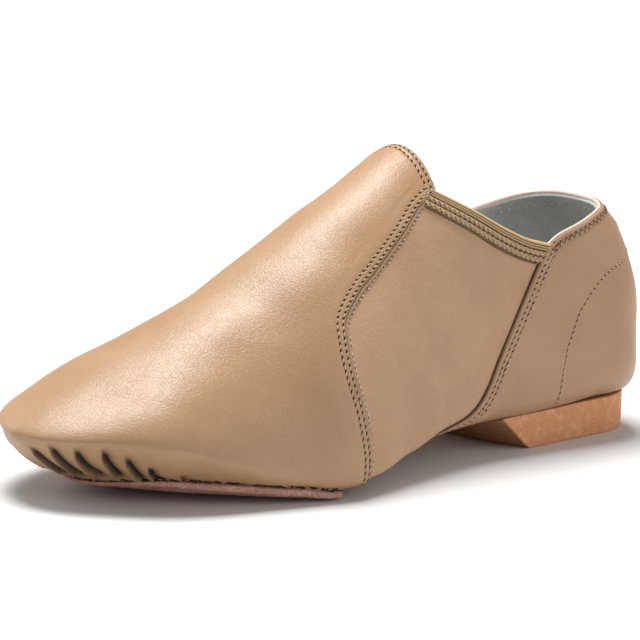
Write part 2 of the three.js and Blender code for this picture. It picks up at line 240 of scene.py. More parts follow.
class Last:
    """The form that every piece of the shoe lies on."""

    STATIONS = 260
    RING = 180
    POLE = 1e-9

    def __init__(self, sizes: ShoeSizes) -> None:
        """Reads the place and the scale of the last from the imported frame."""
        self.sizes = sizes
        heel, toe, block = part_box("heel_quarter"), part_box("vamp"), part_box("heel_block")
        self.scale = (toe[1].x - heel[0].x) / sizes.length
        self.origin = np.array([heel[0].x, (block[0].y + block[1].y) / 2, 0.0])
        at, *measures = zip(*SECTIONS)
        self.curves = {
            name: smooth(at, values) for name, values in zip(SECTION_COLUMNS[1:], measures)
        }
        self.at_table = (1 - np.cos(np.linspace(0, math.pi, self.STATIONS))) / 2
        self.turn_table = np.linspace(0, 1, 4 * self.RING + 1)
        self.angle_table = self._angles()

    def place(self, points: np.ndarray) -> np.ndarray:
        """Millimetres on the last as metres in the frame."""
        return points * self.scale + self.origin

    @staticmethod
    def _left(distance: np.ndarray, depth: float, power: float) -> np.ndarray:
        """Share of a section that is left at a distance from a rounded end."""
        t = np.clip(1 - distance / depth, 0, 1)
        return np.maximum(1 - t**power, 0) ** (1 / power)

    def underside(self, at: np.ndarray) -> np.ndarray:
        """Height of the leather's underside along the middle of the shoe."""
        s = self.sizes
        lift = self.curves["rise"](at) * (s.heel_seat - s.seat)
        return s.seat + lift + self.curves["spring"](at) * s.toe_spring

    def section(self, at: np.ndarray, grow: Any) -> dict[str, np.ndarray]:
        """One section of the last, grown outward by a thickness.

        Args:
            at: Shares of the length.
            grow: Millimetres outward.

        Returns:
            The section's named measures.
        """
        s = self.sizes
        share = {name: curve(at) for name, curve in self.curves.items()}
        close = {
            name: self._left(1 - at, getattr(TOE_END, name), TOE_END.power)
            * self._left(at, getattr(HEEL_END, name), HEEL_END.power)
            for name in ("width", "crown", "floor")
        }
        middle = share["widest"] * s.instep_height
        return {
            "x": at * (s.length + 2 * grow) - grow,
            "centre": -share["swing"] * s.toe_swing,
            "middle": middle,
            "outer": (share["outer"] * s.ball_width + grow) * close["width"],
            "inner": (share["inner"] * s.ball_width + grow) * close["width"],
            "up": (share["crown"] * s.instep_height - middle + grow) * close["crown"],
            "down": (middle - self.underside(at) + grow) * close["floor"],
            "top": share["top"],
            "low": share["low"],
            "tuck": share["tuck"],
        }

    def ring(self, at: np.ndarray, angle: np.ndarray, grow: Any = 0.0) -> np.ndarray:
        """Points of the sections at angles from the outer side."""
        s = self.section(at, grow)
        across, along = np.cos(angle), np.sin(angle)
        over = along >= 0
        width = np.abs(across) ** (2 / np.where(over, s["top"], s["low"]))
        height = np.abs(along) ** (2 / np.where(over, s["top"], s["tuck"]))
        y = s["centre"] + np.where(across >= 0, s["outer"], -s["inner"]) * width
        z = s["middle"] + np.where(over, s["up"], -s["down"]) * height
        return np.stack(np.broadcast_arrays(s["x"], y, z), -1)

    def _angles(self) -> np.ndarray:
        """The angle at each station and turn. A turn runs 0 to 1 round a ring from its top, down
        the outer side, with a quarter of it in each quarter of the ring, even in length."""
        table = np.empty((self.STATIONS, 4 * self.RING + 1))
        fine = 1 - np.cos(np.linspace(0, math.pi, 1200))
        fine = fine / fine[-1]
        for quarter in range(4):
            angle = math.pi / 2 - (quarter + fine) * math.pi / 2
            at = np.clip(self.at_table, 2e-4, 1 - 2e-4)[:, None]
            points = self.ring(at, angle[None, :])
            lengths = np.linalg.norm(np.diff(points, axis=1), axis=-1)
            along = np.concatenate([np.zeros((len(at), 1)), np.cumsum(lengths, 1)], 1)
            along /= along[:, -1:]
            start = quarter * self.RING
            share = np.linspace(0, 1, self.RING + 1)
            for i, row in enumerate(along):
                table[i, start : start + self.RING + 1] = np.interp(share, row, angle)
        return table

    def angle(self, at: np.ndarray, turn: np.ndarray) -> np.ndarray:
        """The ring angle at a station and turn."""
        at, turn = np.broadcast_arrays(at, np.mod(turn, 1.0))
        i = np.interp(at, self.at_table, np.arange(self.STATIONS))
        j = turn * 4 * self.RING
        i0 = np.clip(i.astype(int), 0, self.STATIONS - 2)
        j0 = np.clip(j.astype(int), 0, 4 * self.RING - 1)
        u, v = i - i0, j - j0
        a = self.angle_table
        near = a[i0, j0] * (1 - v) + a[i0, j0 + 1] * v
        far = a[i0 + 1, j0] * (1 - v) + a[i0 + 1, j0 + 1] * v
        return near * (1 - u) + far * u

    def point(self, at: Any, turn: Any, grow: Any = 0.0) -> np.ndarray:
        """Points on the last at stations and turns, grown outward."""
        at = np.clip(np.asarray(at, float), self.POLE, 1 - self.POLE)
        return self.ring(at, self.angle(at, np.asarray(turn, float)), grow)

    def slopes(self, at: np.ndarray, turn: np.ndarray, grow: Any = 0.0) -> tuple:
        """How a point moves with its station and with its turn."""
        d, e = 5e-4, 2e-3
        at = np.clip(at, 2 * d, 1 - 2 * d)
        forward = (self.point(at + d, turn, grow) - self.point(at - d, turn, grow)) / (2 * d)
        round_ = (self.point(at, turn + e, grow) - self.point(at, turn - e, grow)) / (2 * e)
        return forward, round_

    def normal(self, at: np.ndarray, turn: np.ndarray, grow: Any = 0.0) -> np.ndarray:
        """Outward normals."""
        forward, round_ = self.slopes(at, turn, grow)
        return unit(np.cross(round_, forward) * -1)

    def nearest(self, target: np.ndarray, at: np.ndarray, turn: np.ndarray) -> tuple:
        """Station and turn of the surface's nearest point to each target.

        Args:
            target: Points near the surface.
            at: First guesses of the stations.
            turn: First guesses of the turns.

        Returns:
            The stations and the turns.
        """
        at, turn = np.array(at, float), np.array(turn, float)
        for _ in range(6):
            miss = target - self.point(at, turn)
            forward, round_ = self.slopes(at, turn)
            ff, rr = (forward**2).sum(-1), (round_**2).sum(-1)
            fr = (forward * round_).sum(-1)
            mf, mr = (miss * forward).sum(-1), (miss * round_).sum(-1)
            det = np.maximum(ff * rr - fr * fr, 1e-9)
            at = np.clip(at + (mf * rr - mr * fr) / det, 1e-3, 1 - 1e-3)
            turn = turn + (mr * ff - mf * fr) / det
        return at, turn

    def floor_height(self, places: np.ndarray, grow: Any) -> np.ndarray:
        """Height of the grown underside over points of the floor.

        Args:
            places: Rows of x and y.
            grow: Millimetres outward.

        Returns:
            The heights, at the widest line beyond the sides.
        """
        x, y = places.T
        at = (x + grow) / (self.sizes.length + 2 * grow)
        s = self.section(at, grow)
        half = np.where(y >= s["centre"], s["outer"], s["inner"])
        share = np.clip(np.abs(y - s["centre"]) / half, 0, 1)
        along = np.sqrt(np.maximum(1 - share ** s["low"], 0))
        return s["middle"] - s["down"] * along ** (2 / s["tuck"])


class Line:
    """A line on the last: stations and turns, with the inward way along the surface."""

    def __init__(self, last: Last, at: np.ndarray, turn: np.ndarray, closed: bool = False) -> None:
        """Keeps the line's points.

        Args:
            last: The form that the line lies on.
            at: Its stations.
            turn: Its turns.
            closed: Whether it runs back to its start.
        """
        self.last, self.closed = last, closed
        self.at, self.turn = np.array(at), np.unwrap(turn, period=1.0)

    def points(self, grow: Any = 0.0) -> np.ndarray:
        """The line's points, grown outward."""
        return self.last.point(self.at, self.turn, grow)

    def lengths(self) -> np.ndarray:
        """Distance along the line to each point."""
        steps = np.linalg.norm(np.diff(self.points(), axis=0), axis=-1)
        return np.concatenate([[0.0], np.cumsum(steps)])

    def even(
        self, count: int, weight: Callable[[np.ndarray], np.ndarray] | None = None
    ) -> "Line":
        """The same line with evenly spaced points.

        Args:
            count: How many points.
            weight: How dense the points are, from the turn at each.

        Returns:
            The new line. A closed one leaves out the repeated last point.
        """
        along = self.lengths()
        if weight is not None:
            dense = weight(np.mod(self.turn, 1.0))
            steps = np.diff(along) * (dense[1:] + dense[:-1]) / 2
            along = np.concatenate([[0.0], np.cumsum(steps)])
        wanted = np.linspace(0, along[-1], count + 1 if self.closed else count)
        wanted = wanted[:-1] if self.closed else wanted
        at, turn = np.interp(wanted, along, self.at), np.interp(wanted, along, self.turn)
        return Line(self.last, at, turn, self.closed)

    def tangents(self) -> np.ndarray:
        """Unit vectors along the line."""
        points = self.points()
        if self.closed:
            return unit(np.roll(points, -1, 0) - np.roll(points, 1, 0))
        return unit(np.gradient(points, axis=0))

    def normals(self) -> np.ndarray:
        """Outward normals of the last along the line."""
        return self.last.normal(self.at, self.turn)

    def inward(self, ease: float = 0.0) -> np.ndarray:
        """Unit vectors across the line along the surface, to the right of its direction.

        Args:
            ease: Millimetres over which a corner of the line is eased.

        Returns:
            One vector a point.
        """
        across = unit(np.cross(self.tangents(), self.normals()))
        if ease <= 0:
            return across
        spacing = max(float(np.mean(np.diff(self.lengths()))), 1e-3)
        reach = max(int(3 * ease / spacing), 1)
        kernel = bell(np.arange(-reach, reach + 1) * spacing, ease)
        mode = "wrap" if self.closed else "edge"
        padded = np.pad(across, ((reach, reach), (0, 0)), mode=mode)
        eased = np.stack([np.convolve(padded[:, k], kernel, "valid") for k in range(3)], -1)
        return unit(eased)

    def moved(self, distance: float, ease: float = 0.0) -> "Line":
        """The line moved inward along the surface.

        Args:
            distance: Millimetres inward.
            ease: Millimetres over which a corner is eased.

        Returns:
            The moved line, point for point.
        """
        target = self.points() + self.inward(ease) * distance
        at, turn = self.last.nearest(target, self.at, self.turn)
        return Line(self.last, at, turn, self.closed)


def crossing(
    test: Callable[[np.ndarray], np.ndarray], low: Any, high: Any, count: int
) -> np.ndarray:
    """Where a falling test crosses zero between two bounds, by halving.

    Args:
        test: Positive at the low bound and negative at the high one.
        low: Low bounds.
        high: High bounds.
        count: How many values are found together.

    Returns:
        The crossings.
    """
    low, high = (np.array(np.broadcast_to(bound, (count,)), float) for bound in (low, high))
    for _ in range(HALVINGS):
        middle = (low + high) / 2
        above = test(middle) > 0
        low, high = np.where(above, middle, low), np.where(above, high, middle)
    return (low + high) / 2


class Pattern:
    """The lines at which the shoe's pieces are cut."""

    FINE = 1600

    def __init__(self, last: Last) -> None:
        """Keeps the last and its cutting curves in shares of length and instep height."""
        self.last = last
        self.vamp_at = smooth(*zip(*VAMP_EDGE))
        self.quarter_at = smooth(*zip(*QUARTER_EDGE))
        at, outer, inner = zip(*QUARTER_TOPLINE)
        self.outer_top, self.inner_top = smooth(at, outer), smooth(at, inner)
        self.band_top = smooth(*zip(*BAND_TOPLINE))
        self.outer = self.corner(0.02, 0.25)
        self.inner = self.corner(0.98, 0.75)

    def shares(self, at: np.ndarray, turn: np.ndarray) -> tuple:
        """Side view place of a point on the last, in shares of length and instep height."""
        points, sizes = self.last.point(at, turn), self.last.sizes
        return points[..., 0] / sizes.length, points[..., 2] / sizes.instep_height

    def top(self, at: np.ndarray, turn: np.ndarray) -> np.ndarray:
        """Height share of the collar line at stations."""
        outer = step(-0.08, 0.08, np.mod(turn + 0.5, 1.0) - 0.5)
        quarter = self.outer_top(at) * outer + self.inner_top(at) * (1 - outer)
        return np.where(at < QUARTER_TOPLINE[-1][0], quarter, self.band_top(at))

    def turns(self, at: np.ndarray, height: np.ndarray, side: Side) -> np.ndarray:
        """Turns at which sections reach a height share, on one side of the shoe."""
        far = 0.0 if side is Side.OUTER else 1.0

        def above(turn: np.ndarray) -> np.ndarray:
            """Positive over the height."""
            return self.shares(at, turn)[1] - height

        return crossing(above, far, 0.5, len(at))

    def vamp_line(self) -> Line:
        """Rear edge of the vamp, all round the foot from the top of the tab."""
        turn = np.linspace(0, 1, self.FINE)

        def behind(at: np.ndarray) -> np.ndarray:
            """Positive behind the edge."""
            x, z = self.shares(at, turn)
            return self.vamp_at(z) - x

        return Line(self.last, crossing(behind, 0.3, 0.7, self.FINE), turn, True)

    def front_line(self, turn: np.ndarray) -> np.ndarray:
        """Stations of the quarter's front edge at turns."""

        def behind(at: np.ndarray) -> np.ndarray:
            """Positive behind the edge."""
            x, z = self.shares(at, turn)
            return self.quarter_at(z) - x

        return crossing(behind, 0.12, 0.6, len(turn))

    def collar_line(self, turn: np.ndarray) -> np.ndarray:
        """Stations at which lines from the heel come up to the collar."""

        def under(at: np.ndarray) -> np.ndarray:
            """Positive under the collar."""
            x, z = self.shares(at, turn)
            return self.top(x, turn) - z

        first = np.full(len(turn), 0.5)
        for at in np.linspace(0.5, 0.002, 320):
            first = np.where(under(np.full(len(turn), at)) < 0, at, first)
        return crossing(under, first - 0.002, first, len(turn))

    def corner(self, low: float, high: float) -> float:
        """Turn of the corner at which the collar meets the quarter's front edge, between bounds."""
        turn = np.linspace(low, high, 400)
        ahead = self.collar_line(turn) >= self.front_line(turn)
        first = int(np.argmax(ahead))
        return float(turn[max(first - 1, 0)])

    def quarter_line(self) -> Line:
        """Outline of the quarter: its front edge from the inner corner, under the arch and up to
        the outer corner, and back along the collar."""
        under = np.linspace(self.inner, self.outer, self.FINE)
        over = self.collar()
        at = np.concatenate([self.front_line(under), over.at[1:]])
        return Line(self.last, at, np.concatenate([under, over.turn[1:]]), True)

    def collar(self) -> Line:
        """The quarter's collar line, from its outer corner round the heel to the inner one."""
        turn = np.linspace(1 + self.outer, self.inner, self.FINE)
        return Line(self.last, self.collar_line(np.mod(turn, 1.0)), turn)


def grid_quads(index: np.ndarray) -> np.ndarray:
    """The quads between a grid of point numbers."""
    corners = [index[:-1, :-1], index[1:, :-1], index[1:, 1:], index[:-1, 1:]]
    return np.stack(corners, -1).reshape(-1, 4)


class Piece:
    """A visible piece: a mesh on the last with a finish."""

    def __init__(self, name: str, last: Last) -> None:
        """Starts an empty piece.

        Args:
            name: The piece's name.
            last: The form that it lies on.
        """
        self.name, self.last = name, last
        self.points: list[np.ndarray] = []
        self.quads: list[np.ndarray] = []
        self.marks: dict[str, list[np.ndarray]] = {}
        self.count = 0

    def grid(
        self, points: np.ndarray, closed: bool = False, flip: bool = False, **marks: Any
    ) -> None:
        """Adds a grid of points as faces.

        Args:
            points: Rows by columns of places, in millimetres.
            closed: Whether the last row meets the first.
            flip: Turns the faces over.
            **marks: Values for the shaders, one a point.
        """
        rows, columns = points.shape[:2]
        index = np.arange(rows * columns).reshape(rows, columns) + self.count
        if closed:
            index = np.concatenate([index, index[:1]])
        quads = grid_quads(index)
        self.add(points.reshape(-1, 3), quads[:, ::-1] if flip else quads, **marks)

    def add(self, points: np.ndarray, quads: np.ndarray, **marks: Any) -> None:
        """Adds points and the faces between them.

        Args:
            points: Places in millimetres.
            quads: Rows of point numbers, counted with the points already here.
            **marks: Values for the shaders, one a point.
        """
        self.points.append(points)
        self.quads.append(quads)
        for name in set(self.marks) | set(marks):
            held = self.marks.setdefault(name, [np.zeros(self.count)] if self.count else [])
            value = np.asarray(marks.get(name, 0.0), float).reshape(-1)
            held.append(np.array(np.broadcast_to(value, (len(points),))))
        self.count += len(points)

    def build(
        self, finish: bpy.types.Material, replaces: Sequence[str], slot: str
    ) -> bpy.types.Object:
        """Makes the Blender object and puts it on the frame.

        Args:
            finish: Its material.
            replaces: CAD nodes that it stands for.
            slot: The record's material slot; not used.

        Returns:
            The object.
        """
        points = self.last.place(np.concatenate(self.points))
        quads = np.concatenate(self.quads)
        mesh = bpy.data.meshes.new(self.name)
        mesh.vertices.add(len(points))
        mesh.vertices.foreach_set("co", points.astype(np.float32).ravel())
        mesh.loops.add(len(quads) * 4)
        mesh.loops.foreach_set("vertex_index", quads.astype(np.int32).ravel())
        mesh.polygons.add(len(quads))
        mesh.polygons.foreach_set("loop_start", np.arange(0, len(quads) * 4, 4, dtype=np.int32))
        mesh.polygons.foreach_set("use_smooth", np.ones(len(quads), bool))
        for name, values in self.marks.items():
            layer = mesh.attributes.new(name, "FLOAT", "POINT")
            layer.data.foreach_set("value", np.concatenate(values).astype(np.float32))
        mesh.update(calc_edges=True)
        mesh.validate()
        mesh.materials.append(finish)
        piece = bpy.data.objects.new(self.name, mesh)
        bpy.context.scene.collection.objects.link(piece)
        weld(piece)
        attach(piece, BODY)
        if replaces:
            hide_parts(*replaces)
        log.info("%s: %d faces", self.name, len(piece.data.polygons))
        return piece


def weld(piece: bpy.types.Object) -> None:
    """Joins points that lie together, so that no face is without area."""
    shape = bmesh.new()
    shape.from_mesh(piece.data)
    bmesh.ops.remove_doubles(shape, verts=shape.verts, dist=WELD_REACH)
    bmesh.ops.dissolve_degenerate(shape, edges=shape.edges, dist=THINNEST_EDGE)
    shape.to_mesh(piece.data)
    shape.free()


def grid_normals(points: np.ndarray, closed: bool) -> np.ndarray:
    """Unit normals of a grid of points, on the side of the faces.

    Args:
        points: Rows by columns of places.
        closed: Whether the last row meets the first.

    Returns:
        One normal a point.
    """
    if closed:
        rows = np.roll(points, -1, 0) - np.roll(points, 1, 0)
    else:
        rows = np.gradient(points, axis=0)
    return unit(np.cross(rows, np.gradient(points, axis=1)))


def eased(values: np.ndarray, width: float) -> np.ndarray:
    """Values round a closed line, smoothed over a width counted in points."""
    if width < 0.3:
        return values
    reach = int(math.ceil(3 * width))
    kernel = bell(np.arange(-reach, reach + 1), width)
    return np.convolve(np.pad(values, reach, mode="wrap"), kernel / kernel.sum(), "valid")


def rising(values: np.ndarray, least: float = 0.12) -> np.ndarray:
    """Values that only rise or only fall, as near as may be to the given ones.

    Args:
        values: Values that rise or fall on the whole.
        least: The smallest step kept, as a share of the mean step.

    Returns:
        The mended values, with the same two ends.
    """
    way = 1.0 if values[-1] > values[0] else -1.0
    high = np.maximum.accumulate(values * way)
    low = np.minimum.accumulate(values[::-1] * way)[::-1]
    mended = (high + low) / 2
    steps = np.diff(mended)
    steps = np.maximum(steps, least * steps.mean())
    risen = mended[0] + np.concatenate([[0.0], np.cumsum(steps)])
    return way * (risen - np.linspace(0, risen[-1] - mended[-1], len(risen)))


class Fan:
    """A grid on the last from an outline to one of its two ends, with strips along the outline."""

    FINE = 500
    CROWDING = 3
    EASING = 0.4

    def __init__(
        self, outline: Line, strips: Sequence[float], ease: float, pole: float, columns: int
    ) -> None:
        """Works out the stations and turns of the grid.

        Args:
            outline: The closed outline, with its inside on the right.
            strips: Distances of the strips' lines from the outline.
            ease: Millimetres over which the outline's corners are eased.
            pole: The end's share of the length, 0 or 1.
            columns: How many columns there are between the last strip and the end.
        """
        self.last = outline.last
        lines = [outline.moved(d, ease) if d else outline for d in strips]
        spacing = float(outline.lengths()[-1]) / len(outline.at)
        trend = np.linspace(0, outline.turn[-1] - outline.turn[0], len(outline.at))
        widths = [d * self.EASING / spacing for d in strips]
        at = [eased(line.at, width) for line, width in zip(lines, widths)]
        turn = [
            rising(eased(line.turn - trend, width) + trend) for line, width in zip(lines, widths)
        ]
        start, turns = at[-1], turn[-1]
        fine = np.linspace(0, 1, self.FINE) ** self.CROWDING
        stations = pole + (start[:, None] - pole) * fine[None, :]
        path = self.last.point(stations, turns[:, None])
        steps = np.linalg.norm(np.diff(path, axis=1), axis=-1)
        along = np.concatenate([np.zeros((len(start), 1)), np.cumsum(steps, 1)], 1)
        share = np.linspace(1, 0, columns + 1)[1:]
        inner = np.stack([np.interp(share * a[-1], a, s) for a, s in zip(along, stations)])
        self.at = np.concatenate([np.stack(at, 1), inner], 1)
        self.turn = np.concatenate([np.stack(turn, 1), np.repeat(turns[:, None], columns, 1)], 1)
        reach = strips[-1] + (along[:, -1:] * (1 - share)[None, :])
        near = np.broadcast_to(np.array(strips), (len(start), len(strips)))
        self.distance = np.concatenate([near, reach], 1)

    def points(self, grow: Any = 0.0) -> np.ndarray:
        """The grid's points, grown outward."""
        return self.last.point(self.at, self.turn, grow)


class Wire:
    """A value between shader nodes. Python's operators on it add Math nodes."""

    def __init__(self, tree: bpy.types.NodeTree, socket: bpy.types.NodeSocket) -> None:
        """Wraps an output socket of a node tree."""
        self.tree, self.socket = tree, socket

    def maths(self, operation: str, *values: Any) -> "Wire":
        """One Math node.

        Args:
            operation: Its operation.
            *values: Numbers or wires.

        Returns:
            Its result.
        """
        node = self.tree.nodes.new("ShaderNodeMath")
        node.operation = operation
        for socket, value in zip(node.inputs, values):
            if isinstance(value, Wire):
                self.tree.links.new(value.socket, socket)
            else:
                socket.default_value = value
        return Wire(self.tree, node.outputs[0])

    def __add__(self, other: Any) -> "Wire":
        """Sum."""
        return self.maths("ADD", self, other)

    def __sub__(self, other: Any) -> "Wire":
        """Difference."""
        return self.maths("SUBTRACT", self, other)

    def __rsub__(self, other: Any) -> "Wire":
        """Difference from a number."""
        return self.maths("SUBTRACT", other, self)

    def __mul__(self, other: Any) -> "Wire":
        """Product."""
        return self.maths("MULTIPLY", self, other)

    def __abs__(self) -> "Wire":
        """Size without its sign."""
        return self.maths("ABSOLUTE", self)

    __radd__ = __add__
    __rmul__ = __mul__


class Shader:
    """A material and its nodes."""

    def __init__(self, name: str) -> None:
        """Makes a material with its standard shader."""
        self.material = bpy.data.materials.new(name)
        self.material.use_nodes = True
        self.tree = self.material.node_tree
        self.surface = self.tree.nodes["Principled BSDF"]
        self.place = self.node("ShaderNodeTexCoord", output="Object")

    def node(
        self, kind: str, settings: dict[str, Any] | None = None,
        inputs: dict[str | int, Any] | None = None, output: str | int = 0,
    ) -> Wire:
        """Adds a node.

        Args:
            kind: Its type.
            settings: Its settings, set first.
            inputs: Values or wires for its sockets, by name or number.
            output: Which output is wanted.

        Returns:
            The wanted output.
        """
        node = self.tree.nodes.new(kind)
        for name, value in (settings or {}).items():
            setattr(node, name, value)
        for socket, value in (inputs or {}).items():
            self.feed(node.inputs[socket], value)
        return Wire(self.tree, node.outputs[output])

    def feed(self, socket: bpy.types.NodeSocket, value: Any) -> None:
        """Links a wire to a socket, or sets the socket's own value."""
        if isinstance(value, Wire):
            self.tree.links.new(value.socket, socket)
        elif socket.type == "RGBA" and len(value) == 3:
            socket.default_value = (*value, 1.0)
        else:
            socket.default_value = value

    def noise(
        self, scale: float, detail: float = 3.0, rough: float = 0.5, place: Wire | None = None
    ) -> Wire:
        """Noise of a scale in cells a metre, about 0.5 in the middle."""
        sockets = {"Scale": scale, "Detail": detail, "Roughness": rough}
        sockets["Vector"] = place or self.place
        return self.node("ShaderNodeTexNoise", inputs=sockets)

    def stretched(self, turn: Sequence[float], scale: Sequence[float]) -> Wire:
        """The object's place, turned and stretched."""
        sockets = {"Vector": self.place, "Rotation": tuple(turn), "Scale": tuple(scale)}
        return self.node("ShaderNodeMapping", inputs=sockets)

    def bent(self, place: Wire, scale: float, reach: float) -> Wire:
        """A place pushed about by noise of a scale, by up to half a reach in metres."""
        push = self.node(
            "ShaderNodeTexNoise", inputs={"Scale": scale, "Vector": self.place}, output="Color"
        )
        sockets = {0: push, 1: (reach, reach, reach), 2: place}
        return self.node("ShaderNodeVectorMath", {"operation": "MULTIPLY_ADD"}, sockets)

    def mark(self, name: str) -> Wire:
        """A value kept on the mesh's points."""
        return self.node("ShaderNodeAttribute", {"attribute_name": name}, output="Fac")

    def step(self, value: Wire, low: float, high: float) -> Wire:
        """A smooth step of a value, from 0 at low to 1 at high."""
        sockets = {"Value": value, "From Min": low, "From Max": high}
        return self.node("ShaderNodeMapRange", {"interpolation_type": "SMOOTHSTEP"}, sockets)

    def mix(self, share: Wire, low: Any, high: Any) -> Wire:
        """Blends two colours."""
        sockets = {0: share, 6: low, 7: high}
        return self.node("ShaderNodeMix", {"data_type": "RGBA"}, sockets, 2)

    def bump(self, height: Wire, strength: float, distance: float) -> Wire:
        """A bump from heights of 0 to 1."""
        sockets = {"Height": height, "Strength": strength, "Distance": distance}
        return self.node("ShaderNodeBump", inputs=sockets)

    def dress(self, **inputs: Any) -> bpy.types.Material:
        """Feeds the standard shader's sockets, with _ for a space, and returns the material."""
        for name, value in inputs.items():
            self.feed(self.surface.inputs[name.replace("_", " ")], value)
        return self.material


def tint(red: int, green: int, blue: int) -> Colour:
    """A screen colour of 0 to 255 as the shader's linear colour."""
    return tuple(
        c / 12.92 if c <= 0.04045 else ((c + 0.055) / 1.055) ** 2.4
        for c in (red / 255, green / 255, blue / 255)
    )


@dataclass(frozen=True)
class Leather:
    """Satin dyed leather with a fine wrinkled grain."""

    name: str = "tan_leather"
    face: Colour = tint(174, 136, 100)
    light: Colour = tint(180, 143, 108)
    # Dark colour of the painted shade in folds, grooves, pleat creases and edge gaps.
    fold: Colour = tint(44, 25, 15)
    roughness: float = 0.4
    grain: float = 0.3

    def build(self) -> bpy.types.Material:
        """Makes the material."""
        s = Shader(self.name)
        place = s.bent(s.stretched((0.5, 0.3, 0.9), (1.0, 0.5, 0.75)), 400.0, 0.0016)
        crease = s.step(abs(s.noise(1150, 1.0, 0.4, place) - 0.5), 0.0, 0.12)
        sockets = {"Scale": 1350.0, "Vector": place}
        cells = s.node("ShaderNodeTexVoronoi", {"feature": "DISTANCE_TO_EDGE"}, sockets)
        height = crease * 0.5 + s.step(cells, 0.0, 0.25) * 0.32 + s.noise(3600, 2.0) * 0.18
        skin = s.mix(s.step(s.noise(38, 2.0), 0.35, 0.7), self.face, self.light)
        # Points that a piece marks are darkened toward that colour: painted shade. The grain's
        # creases are also a little darker, which is the grain's own colour.
        shade = s.mark("fold")
        grain_and_painted_shade = s.mix((1 - crease) * 0.06, s.mix(shade, skin, self.fold), self.fold)
        rough = s.noise(260) * 0.1 + shade * 0.35 + (self.roughness - 0.05)
        return s.dress(
            Base_Color=grain_and_painted_shade, Roughness=rough, Specular_IOR_Level=0.45,
            Normal=s.bump(height, self.grain, 0.00022),
        )


@dataclass(frozen=True)
class Cloth:
    """Matt fabric with a fine knit."""

    name: str
    face: Colour
    shade: Colour
    pitch: float = 2100.0
    relief: float = 0.35
    roughness: float = 0.88
    sheen: float = 0.12
    gloss: float = 0.25

    def build(self) -> bpy.types.Material:
        """Makes the material."""
        s = Shader(self.name)
        place = s.stretched((0.4, 0.2, 0.6), (1.0, 1.0, 0.6))
        knit = s.node("ShaderNodeTexVoronoi", inputs={"Scale": self.pitch, "Vector": place})
        fluff = s.noise(self.pitch * 0.6, 3.0, 0.6)
        patch = s.step(s.noise(45, 2.0), 0.3, 0.75) * 0.5 + s.step(fluff, 0.3, 0.8) * 0.35
        # Painted shade: points that a piece marks, such as the elastic's grooves, are darkened
        # toward this dark brown.
        dark = tuple(c * k for c, k in zip(self.shade, (0.2, 0.13, 0.11)))
        colour = s.mix(s.mark("fold"), s.mix(patch, self.face, self.shade), dark)
        height = (1 - knit) * 0.55 + fluff * 0.45
        return s.dress(
            Base_Color=colour, Roughness=self.roughness, Specular_IOR_Level=self.gloss,
            Sheen_Weight=self.sheen, Sheen_Roughness=0.5,
            Normal=s.bump(height, self.relief, 0.00025),
        )


@dataclass(frozen=True)
class Suede:
    """Rough suede or crumbly heel board with a coloured speckle."""

    name: str
    face: Colour
    dark: Colour
    light: Colour
    grain: float = 1300.0
    relief: float = 0.6
    twill: float = 0.0

    def build(self) -> bpy.types.Material:
        """Makes the material."""
        s = Shader(self.name)
        crumb = s.noise(self.grain, 5.0, 0.65)
        blotch = s.noise(self.grain * 0.12)
        colour = s.mix(s.step(crumb, 0.35, 0.68), self.dark, self.face)
        colour = s.mix(s.step(blotch, 0.45, 0.8) * 0.6, colour, self.light)
        height = crumb * 0.8 + blotch * 0.2
        if self.twill:
            sockets = {
                "Scale": self.twill, "Distortion": 1.4, "Detail": 2.0, "Detail Scale": 2.0,
                "Vector": s.stretched((0.0, 0.5, 0.7), (1.0, 1.0, 1.0)),
            }
            wave = s.node("ShaderNodeTexWave", inputs=sockets)
            height = height * 0.6 + wave * 0.4
            colour = s.mix(wave * 0.3, colour, self.dark)
        # Painted shade: points that a piece marks, the heel block's front face and the sole patch's
        # lip, are darkened.
        colour = s.mix(s.mark("fold"), colour, tuple(c * 0.2 for c in self.dark))
        return s.dress(
            Base_Color=colour, Roughness=0.93, Specular_IOR_Level=0.2,
            Normal=s.bump(height, self.relief, 0.0004),
        )


@dataclass(frozen=True)
class Thread:
    """Twisted sewing thread, or the painted shade of a needle puncture."""

    name: str
    face: Colour
    roughness: float = 0.7

    def build(self) -> bpy.types.Material:
        """Makes the material."""
        s = Shader(self.name)
        twist = s.noise(5200, 2.0)
        colour = s.mix(s.step(twist, 0.3, 0.75), tuple(c * 0.72 for c in self.face), self.face)
        return s.dress(
            Base_Color=colour, Roughness=self.roughness, Specular_IOR_Level=0.3,
            Normal=s.bump(twist, 0.4, 0.0001),
        )


